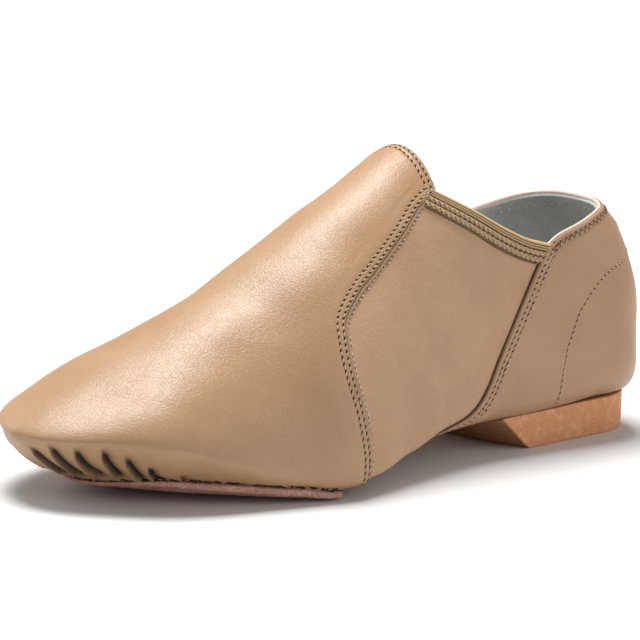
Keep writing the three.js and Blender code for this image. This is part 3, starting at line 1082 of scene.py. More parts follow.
class Finishes:
    """Every finish of the shoe."""

    def __init__(self) -> None:
        """Makes the materials."""
        self.leather = Leather().build()
        self.quarter = Leather(
            "tan_leather_quarter", tint(174, 134, 101), tint(180, 141, 108), grain=0.34
        ).build()
        self.stretch = Cloth(
            "stretch_fabric", tint(194, 156, 124), tint(174, 137, 106), 1500.0, 0.75
        ).build()
        self.lining = Cloth(
            "silver_lining", tint(222, 224, 220), tint(168, 170, 167), 1500.0, 0.4, 0.4, 0.3, 0.7
        ).build()
        self.insole = Cloth(
            "insole_cloth", tint(150, 151, 148), tint(124, 125, 122), 1200.0
        ).build()
        self.elastic = Cloth(
            "golden_elastic", tint(204, 174, 130), tint(176, 146, 104), 1800.0, 0.4, 0.7
        ).build()
        self.edge = Cloth("cream_edge", tint(224, 206, 192), tint(206, 184, 168), 1700.0).build()
        self.suede = Suede(
            "forefoot_suede", tint(214, 166, 150), tint(164, 118, 104), tint(228, 186, 168),
            1500.0, 0.5, 330.0,
        ).build()
        self.heel = Suede(
            "heel_board", tint(232, 170, 128), tint(200, 136, 96), tint(240, 188, 148), 2600.0, 0.6
        ).build()
        self.thread = Thread("beige_thread", tint(206, 178, 146)).build()
        # Dark brown for the collar zigzag, which also stands in for the painted shade of its needle
        # punctures.
        self.brown_thread = Thread("brown_thread", tint(112, 78, 56)).build()
        self.pale_thread = Thread("pale_thread", tint(244, 238, 228)).build()
        # Painted shade of needle punctures and of the gaps at the sole's edge, put on as dark
        # lumps.
        self.hole_shade = Thread("needle_hole", tint(56, 34, 24), 0.9).build()


class Seam:
    """Rows of stitches on the shoe, all in two pieces: the threads, and dark lumps of painted shade
    at their needle punctures.
    """

    SIDES = 6
    RINGS = 6

    def __init__(self, name: str, last: Last) -> None:
        """Starts the two pieces.

        Args:
            name: The seam's name.
            last: The form that it lies on.
        """
        self.threads = Piece(name + "_threads", last)
        self.hole_shades = Piece(name + "_holes", last)
        self.draw = np.random.default_rng(len(name) * 101)

    def lumps(
        self, piece: Piece, centre: np.ndarray, axes: Sequence[np.ndarray], arch: float
    ) -> None:
        """Adds small rounded lumps.

        Args:
            piece: Where they go.
            centre: Their middles, one a row.
            axes: Half lengths along, across and up, as vectors, one a row each.
            arch: How far the middle stands over the ends, in half heights.
        """
        along = np.cos(np.linspace(math.pi, 0, self.RINGS))
        round_ = np.sqrt(np.maximum(1 - along**2, 0.0)) ** 0.8 + 0.02
        turn = np.linspace(0, 2 * math.pi, self.SIDES + 1)[:-1]
        a, b, c = (axis[:, None, None, :] for axis in axes)
        l, r = along[None, :, None, None], round_[None, :, None, None]
        cos, sin = np.cos(turn)[None, None, :, None], np.sin(turn)[None, None, :, None]
        points = centre[:, None, None, :] + a * l + b * r * cos + c * (r * sin + arch * (1 - l**2))
        index = np.arange(self.RINGS * self.SIDES).reshape(self.RINGS, self.SIDES)
        quads = grid_quads(np.concatenate([index, index[:, :1]], 1))
        offset = np.arange(len(centre))[:, None, None] * self.RINGS * self.SIDES + piece.count
        piece.add(points.reshape(-1, 3), (quads[None] + offset).reshape(-1, 4))

    def row(
        self, line: Line, grow: Any, pitch: float, width: float = 0.5, gap: float = 0.3,
        slant: float = 0.0, hole_shade: float = 0.42, wander: float = 0.05,
    ) -> None:
        """Adds one row of stitches along a line.

        Args:
            line: The line that the row follows.
            grow: Height of the surface over the last.
            pitch: Length of a stitch.
            width: Thickness of the thread.
            gap: Share of the pitch left between two stitches.
            slant: How far each stitch leans across the row, in pitches.
            hole_shade: Half size of the painted shade at a needle puncture, 0 for none.
            wander: How unevenly the stitches lie, in millimetres.
        """
        count = max(int(line.lengths()[-1] / pitch), 2)
        even = line.even(count)
        if not np.isscalar(grow):
            places = np.linspace(0, 1, count)
            grow = np.interp(places, np.linspace(0, 1, len(grow)), grow)
        points = even.points(grow)
        tangent, normal = even.tangents(), even.normals()
        across = unit(np.cross(tangent, normal))
        lean = unit(tangent + across * slant)
        jitter = self.draw.normal(size=(count, 1)) * wander
        centre = points + across * jitter
        half = pitch * (1 - gap) / 2
        side = unit(np.cross(lean, normal))
        self.lumps(
            self.threads, centre + normal * width * 0.05,
            (lean * half, side * width / 2, normal * width / 2), 0.25,
        )
        # A dark flat lump at each needle puncture, as painted shade.
        if hole_shade:
            ends = centre + tangent * pitch / 2
            dash = unit(tangent + across * (slant + 0.5))
            flat = unit(np.cross(dash, normal))
            self.lumps(
                self.hole_shades, ends + normal * 0.02,
                (dash * hole_shade * 1.5, flat * hole_shade * 0.62, normal * 0.07), 0.0,
            )

    def zigzag(self, line: Line, grow: float, pitch: float, swing: float, width: float) -> None:
        """Adds a zigzag row, one lump a stroke.

        Args:
            line: The row's middle line.
            grow: Height of the surface over the last.
            pitch: Length of one stroke along the row.
            swing: Half width of the row.
            width: Thickness of the thread.
        """
        count = max(int(line.lengths()[-1] / pitch), 3)
        even = line.even(count)
        points, tangent, normal = even.points(grow), even.tangents(), even.normals()
        across = unit(np.cross(tangent, normal))
        sign = np.where(np.arange(count) % 2 == 0, 1.0, -1.0)[:, None]
        stroke = tangent * pitch / 2 + across * sign * swing
        side = unit(np.cross(stroke, normal))
        lift = normal * width * 0.25
        self.lumps(
            self.threads, points + lift, (stroke * 0.98, side * width / 2, normal * width / 2), 0.2
        )
        # Dark flat lumps at the corners, as painted shade of the needle punctures.
        corner = points + tangent * pitch / 2 + across * sign * swing
        self.lumps(
            self.hole_shades, corner,
            (tangent * width * 0.75, across * width * 0.6, normal * 0.08), 0.0,
        )

    def build(self, thread: bpy.types.Material, hole_shade: bpy.types.Material, slot: str) -> None:
        """Makes both pieces."""
        self.threads.build(thread, (), slot)
        if self.hole_shades.count:
            self.hole_shades.build(hole_shade, (), slot)


@dataclass
class Vamp:
    """The leather over the toe and instep, with its tab, folded edge and toe pleats."""

    last: Last
    pattern: Pattern
    rows: int = 340
    columns: int = 262
    strips: tuple[float, ...] = (
        0.0, 0.12, 0.3, 0.55, 0.85, 1.15, 1.3, 1.42, 1.55, 1.75, 2.0, 2.25, 2.5, 2.8, 3.2, 3.6,
        3.95, 4.2, 4.45, 4.8, 5.3, 6.0, 6.9, 8.0,
    )
    stitch_rows: tuple[float, float] = (2.35, 4.35)
    edge_depth: float = 1.2
    strip_rise: float = 0.72
    face_rise: float = 0.48
    pitch: float = 2.3
    fold_width: float = 2.2
    rim_width: float = 2.0
    pleat_steps: int = 24
    # Toe pleats, each four points from the ridge to the sole as (station, turn), and its depth.
    pleats: tuple = (
        ((0.9961, 0.37), (0.9827, 0.42), (0.9644, 0.442), (0.9415, 0.46), 2.0),
        ((0.9884, 0.27), (0.9741, 0.35), (0.9532, 0.4), (0.93, 0.43), 2.4),
        ((0.9672, 0.265), (0.9541, 0.33), (0.935, 0.372), (0.916, 0.392), 2.6),
        ((0.9412, 0.262), (0.9304, 0.31), (0.9173, 0.34), (0.899, 0.372), 2.6),
        ((0.917, 0.275), (0.9033, 0.316), (0.8944, 0.333), (0.876, 0.361), 2.3),
        ((0.885, 0.3), (0.875, 0.328), (0.864, 0.349), (0.852, 0.36), 1.9),
        ((0.842, 0.315), (0.836, 0.327), (0.829, 0.338), (0.823, 0.345), 0.9),
    )

    def line(self) -> Line:
        """The vamp's rear edge, with more points under the ridge, where the pleats are."""
        return self.pattern.vamp_line().even(
            self.rows, lambda turn: 1 + 0.7 * ((turn > 0.22) & (turn < 0.78))
        )

    def edge_height(self, distance: np.ndarray) -> np.ndarray:
        """Height of the leather's face over the last at distances from its edge."""
        strip = -self.edge_depth + self.strip_rise * np.sqrt(np.clip(distance / 0.5, 0, 1))
        face = strip + self.face_rise * step(1.3, 1.6, distance)
        face = face - 0.12 * bell(distance - 1.36, 0.14)
        for row in self.stitch_rows:
            face = face - 0.17 * bell(distance - row, 0.42)
        middle = sum(self.stitch_rows) / 2
        return face + 0.1 * bell(distance - middle, 0.6) + 0.06 * bell(distance - 6.2, 1.2)

    def pleat_relief(self, points: np.ndarray) -> tuple[np.ndarray, np.ndarray]:
        """Depth and painted shade of the toe pleats.

        Args:
            points: Places on the last.

        Returns:
            Millimetres outward, and how much painted shade darkens each point along the pleats'
            creases.
        """
        height = np.zeros(points.shape[:-1])
        dark = np.zeros(points.shape[:-1])
        count = self.pleat_steps
        for side in Side:
            for *stops, depth in self.pleats:
                share = np.linspace(0, 1, count + 1)
                stop_share = np.linspace(0, 1, len(stops))
                at, turn = (smooth(stop_share, column)(share) for column in zip(*stops))
                path = self.last.point(at, turn if side is Side.OUTER else 1 - turn)
                near = np.full(points.shape[:-1], 1e9)
                across, along = np.zeros_like(near), np.zeros_like(near)
                for k in range(count):
                    start, run = path[k], path[k + 1] - path[k]
                    t = np.clip(((points - start) @ run) / (run @ run), 0, 1)
                    miss = points - (start + t[..., None] * run)
                    gap = np.linalg.norm(miss, axis=-1)
                    toeward = np.cross(run, UP) * side.value
                    closer = gap < near
                    across = np.where(closer, gap * np.where(miss @ toeward > 0, 1.0, -1.0), across)
                    along = np.where(closer, (k + t) / count, along)
                    near = np.minimum(near, gap)
                reach = step(0.0, 0.35, along) * (0.55 + 0.45 * along) * (1 - step(5.0, 9.0, near))
                blend = step(-0.22, 0.15, across)
                valley = -np.exp(-np.abs(across) / self.fold_width)
                rim = 0.55 * np.exp(-np.abs(across) / self.rim_width)
                height += (valley * blend + rim * (1 - blend)) * depth * reach
                # Painted shade along each crease.
                crease = 2.0 * bell(across - 0.7, 0.75) + 0.5 * bell(across - 2.0, 1.4)
                shown = step(0.0, 0.3, along) * (1 - step(5.0, 9.0, near)) * min(depth / 1.5, 1.0)
                dark = np.maximum(dark, np.minimum(crease, 1.0) * shown)
        return height, dark

    def build(self, finishes: Finishes) -> bpy.types.Object:
        """Makes the vamp."""
        fan = Fan(self.line(), self.strips, 3.0, 1.0, self.columns)
        strip = fan.distance <= self.strips[-1]
        height = np.where(strip, self.edge_height(fan.distance), 0.0)
        base = fan.points(np.minimum(height, 0.0))
        normals = -grid_normals(fan.points(0.0), True)
        pleat, dark = self.pleat_relief(fan.points(0.0))
        calm = step(7.0, 16.0, fan.distance)
        waves = (ripples(base, 30.0, 3) * 0.24 + ripples(base, 11.0, 4) * 0.03) * calm
        lift = np.maximum(height, 0.0) + pleat + waves
        tip = step(0.0, 4.0, np.linalg.norm(base - base[0, -1], axis=-1))
        points = base + normals * (lift * tip)[..., None]
        # Painted shade in the groove behind the folded strip, along the cut edge and in the stitch
        # rows.
        groove_shade = 0.75 * bell(fan.distance - 1.38, 0.16) + 0.8 * bell(fan.distance, 0.16)
        for row in self.stitch_rows:
            groove_shade = groove_shade + 0.16 * bell(fan.distance - row, 0.4)
        piece = Piece("vamp_leather", self.last)
        piece.grid(points, closed=True, flip=True, fold=np.clip(groove_shade + dark, 0, 1))
        return piece.build(finishes.leather, ("vamp",), "leather")

    def stitch(self, finishes: Finishes) -> None:
        """Adds the two stitch rows and the ragged row over the folded edge."""
        line = self.pattern.vamp_line().even(900)
        seam = Seam("vamp_seam", self.last)
        for row in self.stitch_rows:
            seam.row(line.moved(row, 1.0), -0.1, self.pitch, 0.55, 0.34, 0.25, 0.5)
        seam.build(finishes.thread, finishes.hole_shade, "leather")
        edge = Seam("vamp_edge", self.last)
        edge.row(line.moved(-0.12, 1.0), -1.08, 1.9, 0.32, 0.5, 0.6, 0.2, 0.2)
        edge.build(finishes.pale_thread, finishes.hole_shade, "leather")


@dataclass
class Quarter:
    """The leather round the heel with its front edge, collar and counter line."""

    last: Last
    pattern: Pattern
    rows: int = 360
    columns: int = 190
    strips: tuple[float, ...] = (
        0.0, 0.12, 0.3, 0.55, 0.9, 1.3, 1.6, 1.9, 2.2, 2.6, 3.0, 3.4, 3.8, 4.3, 5.0, 6.0, 7.5,
    )
    stitch_rows: tuple[float, float] = (2.0, 3.8)
    # The counter line in the side view, x and z in millimetres.
    counter: tuple = (
        (1.5, 62.5), (8.0, 62.3), (16.0, 61.0), (26.6, 58.3), (33.2, 53.9), (39.4, 46.8),
        (42.9, 40.3), (46.5, 31.5), (47.4, 21.9), (48.0, 14.5),
    )

    def build(self, finishes: Finishes) -> bpy.types.Object:
        """Makes the quarter."""
        fan = Fan(self.pattern.quarter_line().even(self.rows), self.strips, 3.5, 0.0, self.columns)
        d = fan.distance
        height = -1.2 + 1.2 * np.sqrt(np.clip(d / 0.7, 0, 1))
        # A dark line along the cut edge, partly the edge's own colour and partly painted shade of
        # the gap beside it; painted shade in the stitch rows too.
        groove_shade = 0.95 * bell(d, 0.3)
        for row in self.stitch_rows:
            height = height - 0.12 * bell(d - row, 0.35)
            groove_shade = groove_shade + 0.2 * bell(d - row, 0.35)
        base = fan.points(np.minimum(height, 0.0))
        normals = -grid_normals(fan.points(0.0), True)
        waves = self.waves(base) * step(1.5, 12.0, d)
        pucker = ripples(base, 8.0, 21) * 0.2 * bell(d - 8.0, 5.0)
        points = base + normals * (waves + pucker)[..., None]
        piece = Piece("quarter_leather", self.last)
        piece.grid(points, closed=True, flip=True, fold=np.clip(groove_shade, 0, 1))
        return piece.build(finishes.quarter, ("heel_quarter",), "leather")

    def stitch(self, finishes: Finishes) -> None:
        """Adds the front edge's rows, the zigzag along the collar and the counter line."""
        under = np.linspace(self.pattern.inner, self.pattern.outer, 900)
        front = Line(self.last, self.pattern.front_line(under), under).even(700)
        seam = Seam("quarter_seam", self.last)
        for row in self.stitch_rows:
            seam.row(front.moved(row, 1.0), -0.08, 2.2, 0.5, 0.36, 0.2, 0.42)
        collar = self.pattern.collar().even(700)
        zigzag = Seam("collar_zigzag", self.last)
        zigzag.zigzag(collar.moved(2.6, 1.0), -0.05, 1.25, 0.75, 0.34)
        zigzag.build(finishes.brown_thread, finishes.hole_shade, "leather")
        counter = self.counter_line().even(180)
        seam.row(counter, self.waves(counter.points()), 2.1, 0.45, 0.35, 0.0, 0.36)
        seam.build(finishes.thread, finishes.hole_shade, "leather")

    @staticmethod
    def waves(points: np.ndarray) -> np.ndarray:
        """Soft waves of the leather at points, in millimetres."""
        return ripples(points, 24.0, 8) * 0.3

    def counter_line(self) -> Line:
        """The single stitch line over the counter, round the heel."""
        x, z = np.array(self.counter).T
        at = x / self.last.sizes.length
        height = z / self.last.sizes.instep_height
        near, far = (self.pattern.turns(at, height, side) for side in Side)
        ats = np.concatenate([at[::-1], at])
        turns = np.unwrap(np.concatenate([near[::-1], far]), period=1.0)
        along = np.linspace(0, 1, len(ats))
        fine = np.linspace(0, 1, 700)
        return Line(self.last, smooth(along, ats)(fine), smooth(along, turns)(fine))


@dataclass
class Sides:
    """The stretch fabric between vamp and quarter, on both sides and under the arch."""

    last: Last
    pattern: Pattern
    rows: int = 260
    columns: int = 200
    start: float = 0.15
    end: float = 0.65
    # How high the fabric reaches under the bands and the leather, by station.
    limit: tuple = (
        (0.14, 0.64), (0.21, 0.652), (0.242, 0.675), (0.275, 0.711), (0.333, 0.789),
        (0.383, 0.852), (0.42, 0.855), (0.453, 0.815), (0.514, 0.735), (0.558, 0.675),
        (0.6, 0.61), (0.66, 0.57),
    )

    def build(self, finishes: Finishes) -> bpy.types.Object:
        """Makes the fabric."""
        at = np.linspace(self.start, self.end, self.columns)
        height = smooth(*zip(*self.limit))(at)
        outer, inner = (self.pattern.turns(at, height, side) for side in Side)
        share = np.linspace(0, 1, self.rows)[:, None]
        turn = outer[None, :] * (1 - share) + inner[None, :] * share
        stations = np.broadcast_to(at[None, :], turn.shape)
        base = self.last.point(stations, turn, -self.last.sizes.layer)
        normals = -grid_normals(base, False)
        waves = ripples(base, 32.0, 5) * 0.12 + ripples(base, 12.0, 15) * 0.03
        piece = Piece("stretch_sides", self.last)
        piece.grid(base + normals * waves[..., None], flip=True, fold=0.0)
        return piece.build(finishes.stretch, ("upper",), "stretch_fabric")


@dataclass
class Lining:
    """The silver lining, from the collar down to the insole and on to the toe."""

    last: Last
    pattern: Pattern
    rows: int = 240
    strips: tuple[float, ...] = (0.0, 0.15, 0.4, 0.8, 1.5, 3.0)
    rim: float = 0.9

    def build(self, finishes: Finishes) -> bpy.types.Object:
        """Makes the lining in two halves that meet at the quarter's front edge."""
        piece = Piece("silver_lining", self.last)
        depth = self.last.sizes.layer + self.last.sizes.wall
        for outline, pole, columns in (
            (self.pattern.quarter_line(), 0.0, 90), (self.front_outline(), 1.0, 110),
        ):
            fan = Fan(outline.even(self.rows), self.strips, 2.5, pole, columns)
            edge = (1 - step(0.0, 0.5, fan.distance)) * self.at_collar(fan)
            grow = -depth + (depth - self.rim) * edge
            base = fan.points(grow)
            soft = (ripples(base, 24.0, 31) * 0.3 + ripples(base, 9.0, 33) * 0.1) * step(
                2.0, 8.0, fan.distance
            )
            points = self.last.point(fan.at, fan.turn, grow - soft)
            piece.grid(points, closed=True, fold=0.0)
        return piece.build(finishes.lining, (), "stretch_fabric")

    def at_collar(self, fan: Fan) -> np.ndarray:
        """1 where the outline is the collar, 0 where the two halves meet."""
        x, z = self.pattern.shares(fan.at[:, :1], fan.turn[:, :1])
        gap = np.abs(z - np.maximum(self.pattern.top(x, fan.turn[:, :1]), 0.0))
        return np.broadcast_to((gap < 0.02) | (z > 0.86), fan.at.shape).astype(float)

    def front_outline(self) -> Line:
        """Outline of the front half: under the arch, and up over the two bands and the tab."""
        under = np.linspace(self.pattern.outer, self.pattern.inner, 1200)
        over = np.linspace(self.pattern.inner, 1 + self.pattern.outer, 1200)[1:-1]
        at = np.concatenate([self.pattern.front_line(under), self.tab_line(np.mod(over, 1.0))])
        return Line(self.last, at, np.concatenate([under, over]), True)

    def tab_line(self, turn: np.ndarray) -> np.ndarray:
        """Stations at which lines from the toe come back to the bands and the tab's end."""
        end = BAND_TOPLINE[-1][0]

        def within(at: np.ndarray) -> np.ndarray:
            """Negative ahead of the tab's end or under the band's top."""
            x, z = self.pattern.shares(at, turn)
            return np.minimum(end - x, z - self.pattern.band_top(x))

        first = np.full(len(turn), 0.2)
        for at in np.linspace(0.2, 0.6, 320):
            first = np.where(within(np.full(len(turn), at)) > 0, at, first)
        return crossing(within, first, first + 0.002, len(turn))


@dataclass
class Bands:
    """The ribbed elastic bands along the collar, one on each side."""

    last: Last
    pattern: Pattern
    columns: int = 190
    start: float = 0.2
    end: float = 0.4
    rear_slope: float = 0.4
    hollow: float = 0.22
    zigzags: tuple[float, float] = (3.7, 5.9)
    # Grooves between the ridges: how far down, how deep, and half their width.
    grooves: tuple = (
        (0.95, 0.4, 0.16), (1.75, 0.4, 0.16), (2.6, 0.55, 0.22), (4.75, 0.55, 0.2),
        (7.05, 0.8, 0.3),
    )

    def profile(self) -> tuple[np.ndarray, np.ndarray, np.ndarray]:
        """The band's section: distance down from its top, height over the last, and painted shade.
        """
        # The inside face is painted a little dark: painted shade.
        inside = [[6.5, -2.75, 0.2], [3.0, -2.75, 0.1], [0.8, -2.7, 0.1], [0.2, -2.4, 0.1]]
        top = [[-0.15, -1.8, 0.0], [-0.25, -1.2, 0.0], [-0.15, -0.6, 0.0], [0.1, -0.2, 0.0]]
        down = np.linspace(0.35, 7.3, 96)
        height, dark = np.zeros(len(down)), np.zeros(len(down))
        for line, depth, width in self.grooves:
            height -= depth * bell(down - line, width)
            # Painted shade in each groove.
            dark += 0.95 * bell(down - line, width)
        height -= self.hollow * ((down > 2.6) & (down < 7.0))
        outside = np.stack([down, height, np.clip(dark, 0, 1)], -1)
        # The lowest edge, which goes under the leather, is painted fully dark: painted shade.
        rows = np.concatenate([inside, top, outside, [[7.45, -0.9, 1.0], [7.55, -1.45, 1.0]]])
        return rows[:, 0], rows[:, 1], rows[:, 2]

    def line(self, side: Side) -> Line:
        """The collar line along one band, with a little under the leather at both ends."""
        at = np.linspace(self.start, self.end, 400)
        (first_at, _), (before_at, before), (last_at, last) = (BAND_TOPLINE[i] for i in (0, -2, -1))
        slope = (last - before) / (last_at - before_at)
        height = self.pattern.band_top(at) + np.maximum(at - last_at, 0) * slope
        height = height - np.maximum(first_at - at, 0) * self.rear_slope
        return Line(self.last, at, self.pattern.turns(at, height, side)).even(self.columns)

    def build(self, finishes: Finishes) -> None:
        """Makes both bands with their zigzag rows."""
        down, height, dark = self.profile()
        for side in Side:
            name = side.name.lower()
            line = self.line(side)
            across = unit(np.cross(line.tangents(), line.normals()))
            across = across * np.sign(-across[:, 2:3])
            base = line.points()
            points = []
            for d, h in zip(down, height):
                at, turn = self.last.nearest(base + across * d, line.at, line.turn)
                lifted = self.last.point(at, turn) + self.last.normal(at, turn) * h
                points.append(lifted + across * min(d, 0.0))
            grid = np.stack(points, 1)
            piece = Piece(f"elastic_band_{name}", self.last)
            darkness = np.broadcast_to(dark, grid.shape[:2])
            piece.grid(grid, flip=side is Side.OUTER, fold=darkness)
            piece.build(finishes.elastic, (f"elastic_band_{name}",), "elastic")
            seam = Seam(f"band_{name}_seam", self.last)
            for row in self.zigzags:
                at, turn = self.last.nearest(base + across * row, line.at, line.turn)
                seam.zigzag(Line(self.last, at, turn), -0.12, 1.05, 0.62, 0.46)
            seam.build(finishes.thread, finishes.hole_shade, "elastic")


@dataclass
class CollarEdge:
    """The cream cut edge along the quarter's collar, with the lining's row of white stitches."""

    last: Last
    pattern: Pattern
    points_along: int = 260
    # The rolled edge's section: inward from the collar line, and over the last.
    section: tuple = (
        (0.5, -0.7), (0.1, -0.72), (-0.15, -0.8), (-0.3, -1.05), (-0.3, -1.4), (-0.15, -1.7),
        (0.1, -1.9), (0.5, -2.3), (1.1, -2.6), (1.6, -2.5),
    )

    def build(self, finishes: Finishes) -> bpy.types.Object:
        """Makes the edge."""
        fine = self.pattern.collar()
        line = fine.even(self.points_along)
        inward, base = line.inward(1.0), line.points()
        normals = line.normals()
        grid = np.stack([base + inward * d + normals * h for d, h in self.section], 1)
        piece = Piece("collar_edge", self.last)
        piece.grid(grid, fold=0.0)
        made = piece.build(finishes.edge, (), "stretch_fabric")
        seam = Seam("lining_seam", self.last)
        seam.row(fine.even(700).moved(4.2, 1.0), -2.7, 3.1, 0.8, 0.45, 0.4, 0.0, 0.15)
        seam.build(finishes.pale_thread, finishes.hole_shade, "stretch_fabric")
        return made


def closed_trace(points: np.ndarray, count: int) -> np.ndarray:
    """A closed outline with evenly spaced points."""
    loop = np.concatenate([points, points[:1]])
    along = np.concatenate([[0.0], np.cumsum(np.linalg.norm(np.diff(loop, axis=0), axis=-1))])
    wanted = np.linspace(0, along[-1], count + 1)[:-1]
    return np.stack([np.interp(wanted, along, loop[:, k]) for k in range(2)], -1)


@dataclass
class ForefootSole:
    """The suede patch under the ball and toes."""

    last: Last
    rows: int = 420
    shares: int = 60
    skive: float = 1.2
    skived: tuple[float, float] = (0.78, 0.9)
    fray: float = 0.22
    # Lines down the patch's edge, in shares of its thickness, from its lip, which is darkened with
    # painted shade.
    drops: tuple[float, ...] = (0.12, 0.35, 0.65, 0.9, 1.0)

    def outline(self) -> np.ndarray:
        """Plan outline of the patch."""
        side_at = smooth(*zip(*SOLE_OUTLINE))
        at = np.linspace(SOLE_OUTLINE[0][0], SOLE_OUTLINE[-1][0], 400)
        s = self.last.section(at, 0.0)
        outer = np.stack([s["x"], s["centre"] + s["outer"] * side_at(at)], -1)
        inner = np.stack([s["x"], s["centre"] - s["inner"] * side_at(at)], -1)
        loop = closed_trace(np.concatenate([outer, inner[::-1]]), self.rows)
        for _ in range(6):
            loop = (np.roll(loop, 1, 0) + loop * 2 + np.roll(loop, -1, 0)) / 4
        return loop

    def thickness(self, places: np.ndarray) -> np.ndarray:
        """Thickness of the patch over places of the floor, skived toward the toe."""
        at = places[:, 0] / self.last.sizes.length
        return self.last.sizes.sole - self.skive * step(*self.skived, at)

    def build(self, finishes: Finishes) -> bpy.types.Object:
        """Makes the patch."""
        gap = self.last.sizes.gap
        loop = self.outline()
        centre = loop.mean(0)
        draw = np.random.default_rng(7)
        fray = np.convolve(draw.normal(size=self.rows + 8), np.ones(3) / 3, "same")[4:-4]
        columns, darkness = [], []
        for share in np.linspace(0.0, 1.0, 12) ** 0.6:
            xy = centre + (loop - centre) * share
            columns.append(np.column_stack([xy, self.last.floor_height(xy, gap)]))
            darkness.append(0.0)
        top = self.last.floor_height(loop, gap)
        bottom = self.last.floor_height(loop, gap + self.thickness(loop))
        for drop in self.drops:
            lip = drop == self.drops[0]
            swell = 0.35 * math.sin(drop * math.pi) + (0.2 if lip else 0.0)
            out = unit(loop - centre) * (swell + (fray * self.fray)[:, None] * (1 - drop))
            z = np.maximum(top + (bottom - top) * drop, 0.0)
            columns.append(np.column_stack([loop + out, z]))
            # Painted shade on the lip, where the patch meets the leather.
            darkness.append(0.7 if lip else 0.0)
        for share in np.linspace(0.995, 0.0, self.shares):
            xy = centre + (loop - centre) * share
            z = self.last.floor_height(xy, gap + self.thickness(xy))
            columns.append(np.column_stack([xy, np.maximum(z, 0.0)]))
            darkness.append(0.0)
        piece = Piece("forefoot_suede", self.last)
        fold = np.broadcast_to(darkness, (self.rows, len(darkness)))
        piece.grid(np.stack(columns, 1), closed=True, fold=fold)
        self.seam(loop, finishes)
        return piece.build(finishes.suede, ("forefoot_sole",), "suede")

    def seam(self, loop: np.ndarray, finishes: Finishes) -> None:
        """Adds ragged dark lumps of painted shade for the gaps, and loose fibres, between the patch
        and the leather.

        Args:
            loop: Plan outline of the patch.
            finishes: The finishes of the shoe.
        """
        draw = np.random.default_rng(23)
        seam = Seam("sole_seam", self.last)
        # The first set are dark lumps of painted shade in the gaps; the second are the fibres.
        for piece, count, reach, thick, lift in (
            (seam.hole_shades, 150, 1.9, 0.34, 0.1), (seam.threads, 110, 1.3, 0.2, 0.0),
        ):
            pick = np.sort(draw.integers(0, len(loop), count))
            ahead = loop[(pick + 2) % len(loop)] - loop[pick]
            out = np.stack([-ahead[:, 1], ahead[:, 0]], -1)
            out = unit(out) * np.sign(((loop[pick] - loop.mean(0)) * out).sum(-1, keepdims=True))
            xy = loop[pick] + out * 0.25
            z = self.last.floor_height(xy, 0.0)
            rise = self.last.floor_height(xy + ahead, 0.0) - z
            along = unit(np.column_stack([ahead, rise]))
            normal = unit(np.column_stack([out, np.full(count, 0.5)]))
            across = unit(np.cross(along, normal))
            length = draw.uniform(0.35, 1.0, (count, 1)) * reach
            tilt = draw.normal(size=(count, 1)) * 0.25
            centre = np.column_stack([xy, z + draw.normal(size=count) * 0.12 - lift])
            width = draw.uniform(0.5, 1.2, (count, 1)) * thick
            axes = ((along + across * tilt) * length, across * width, normal * width)
            seam.lumps(piece, centre, axes, 0.2)
        seam.build(finishes.suede, finishes.hole_shade, "suede")


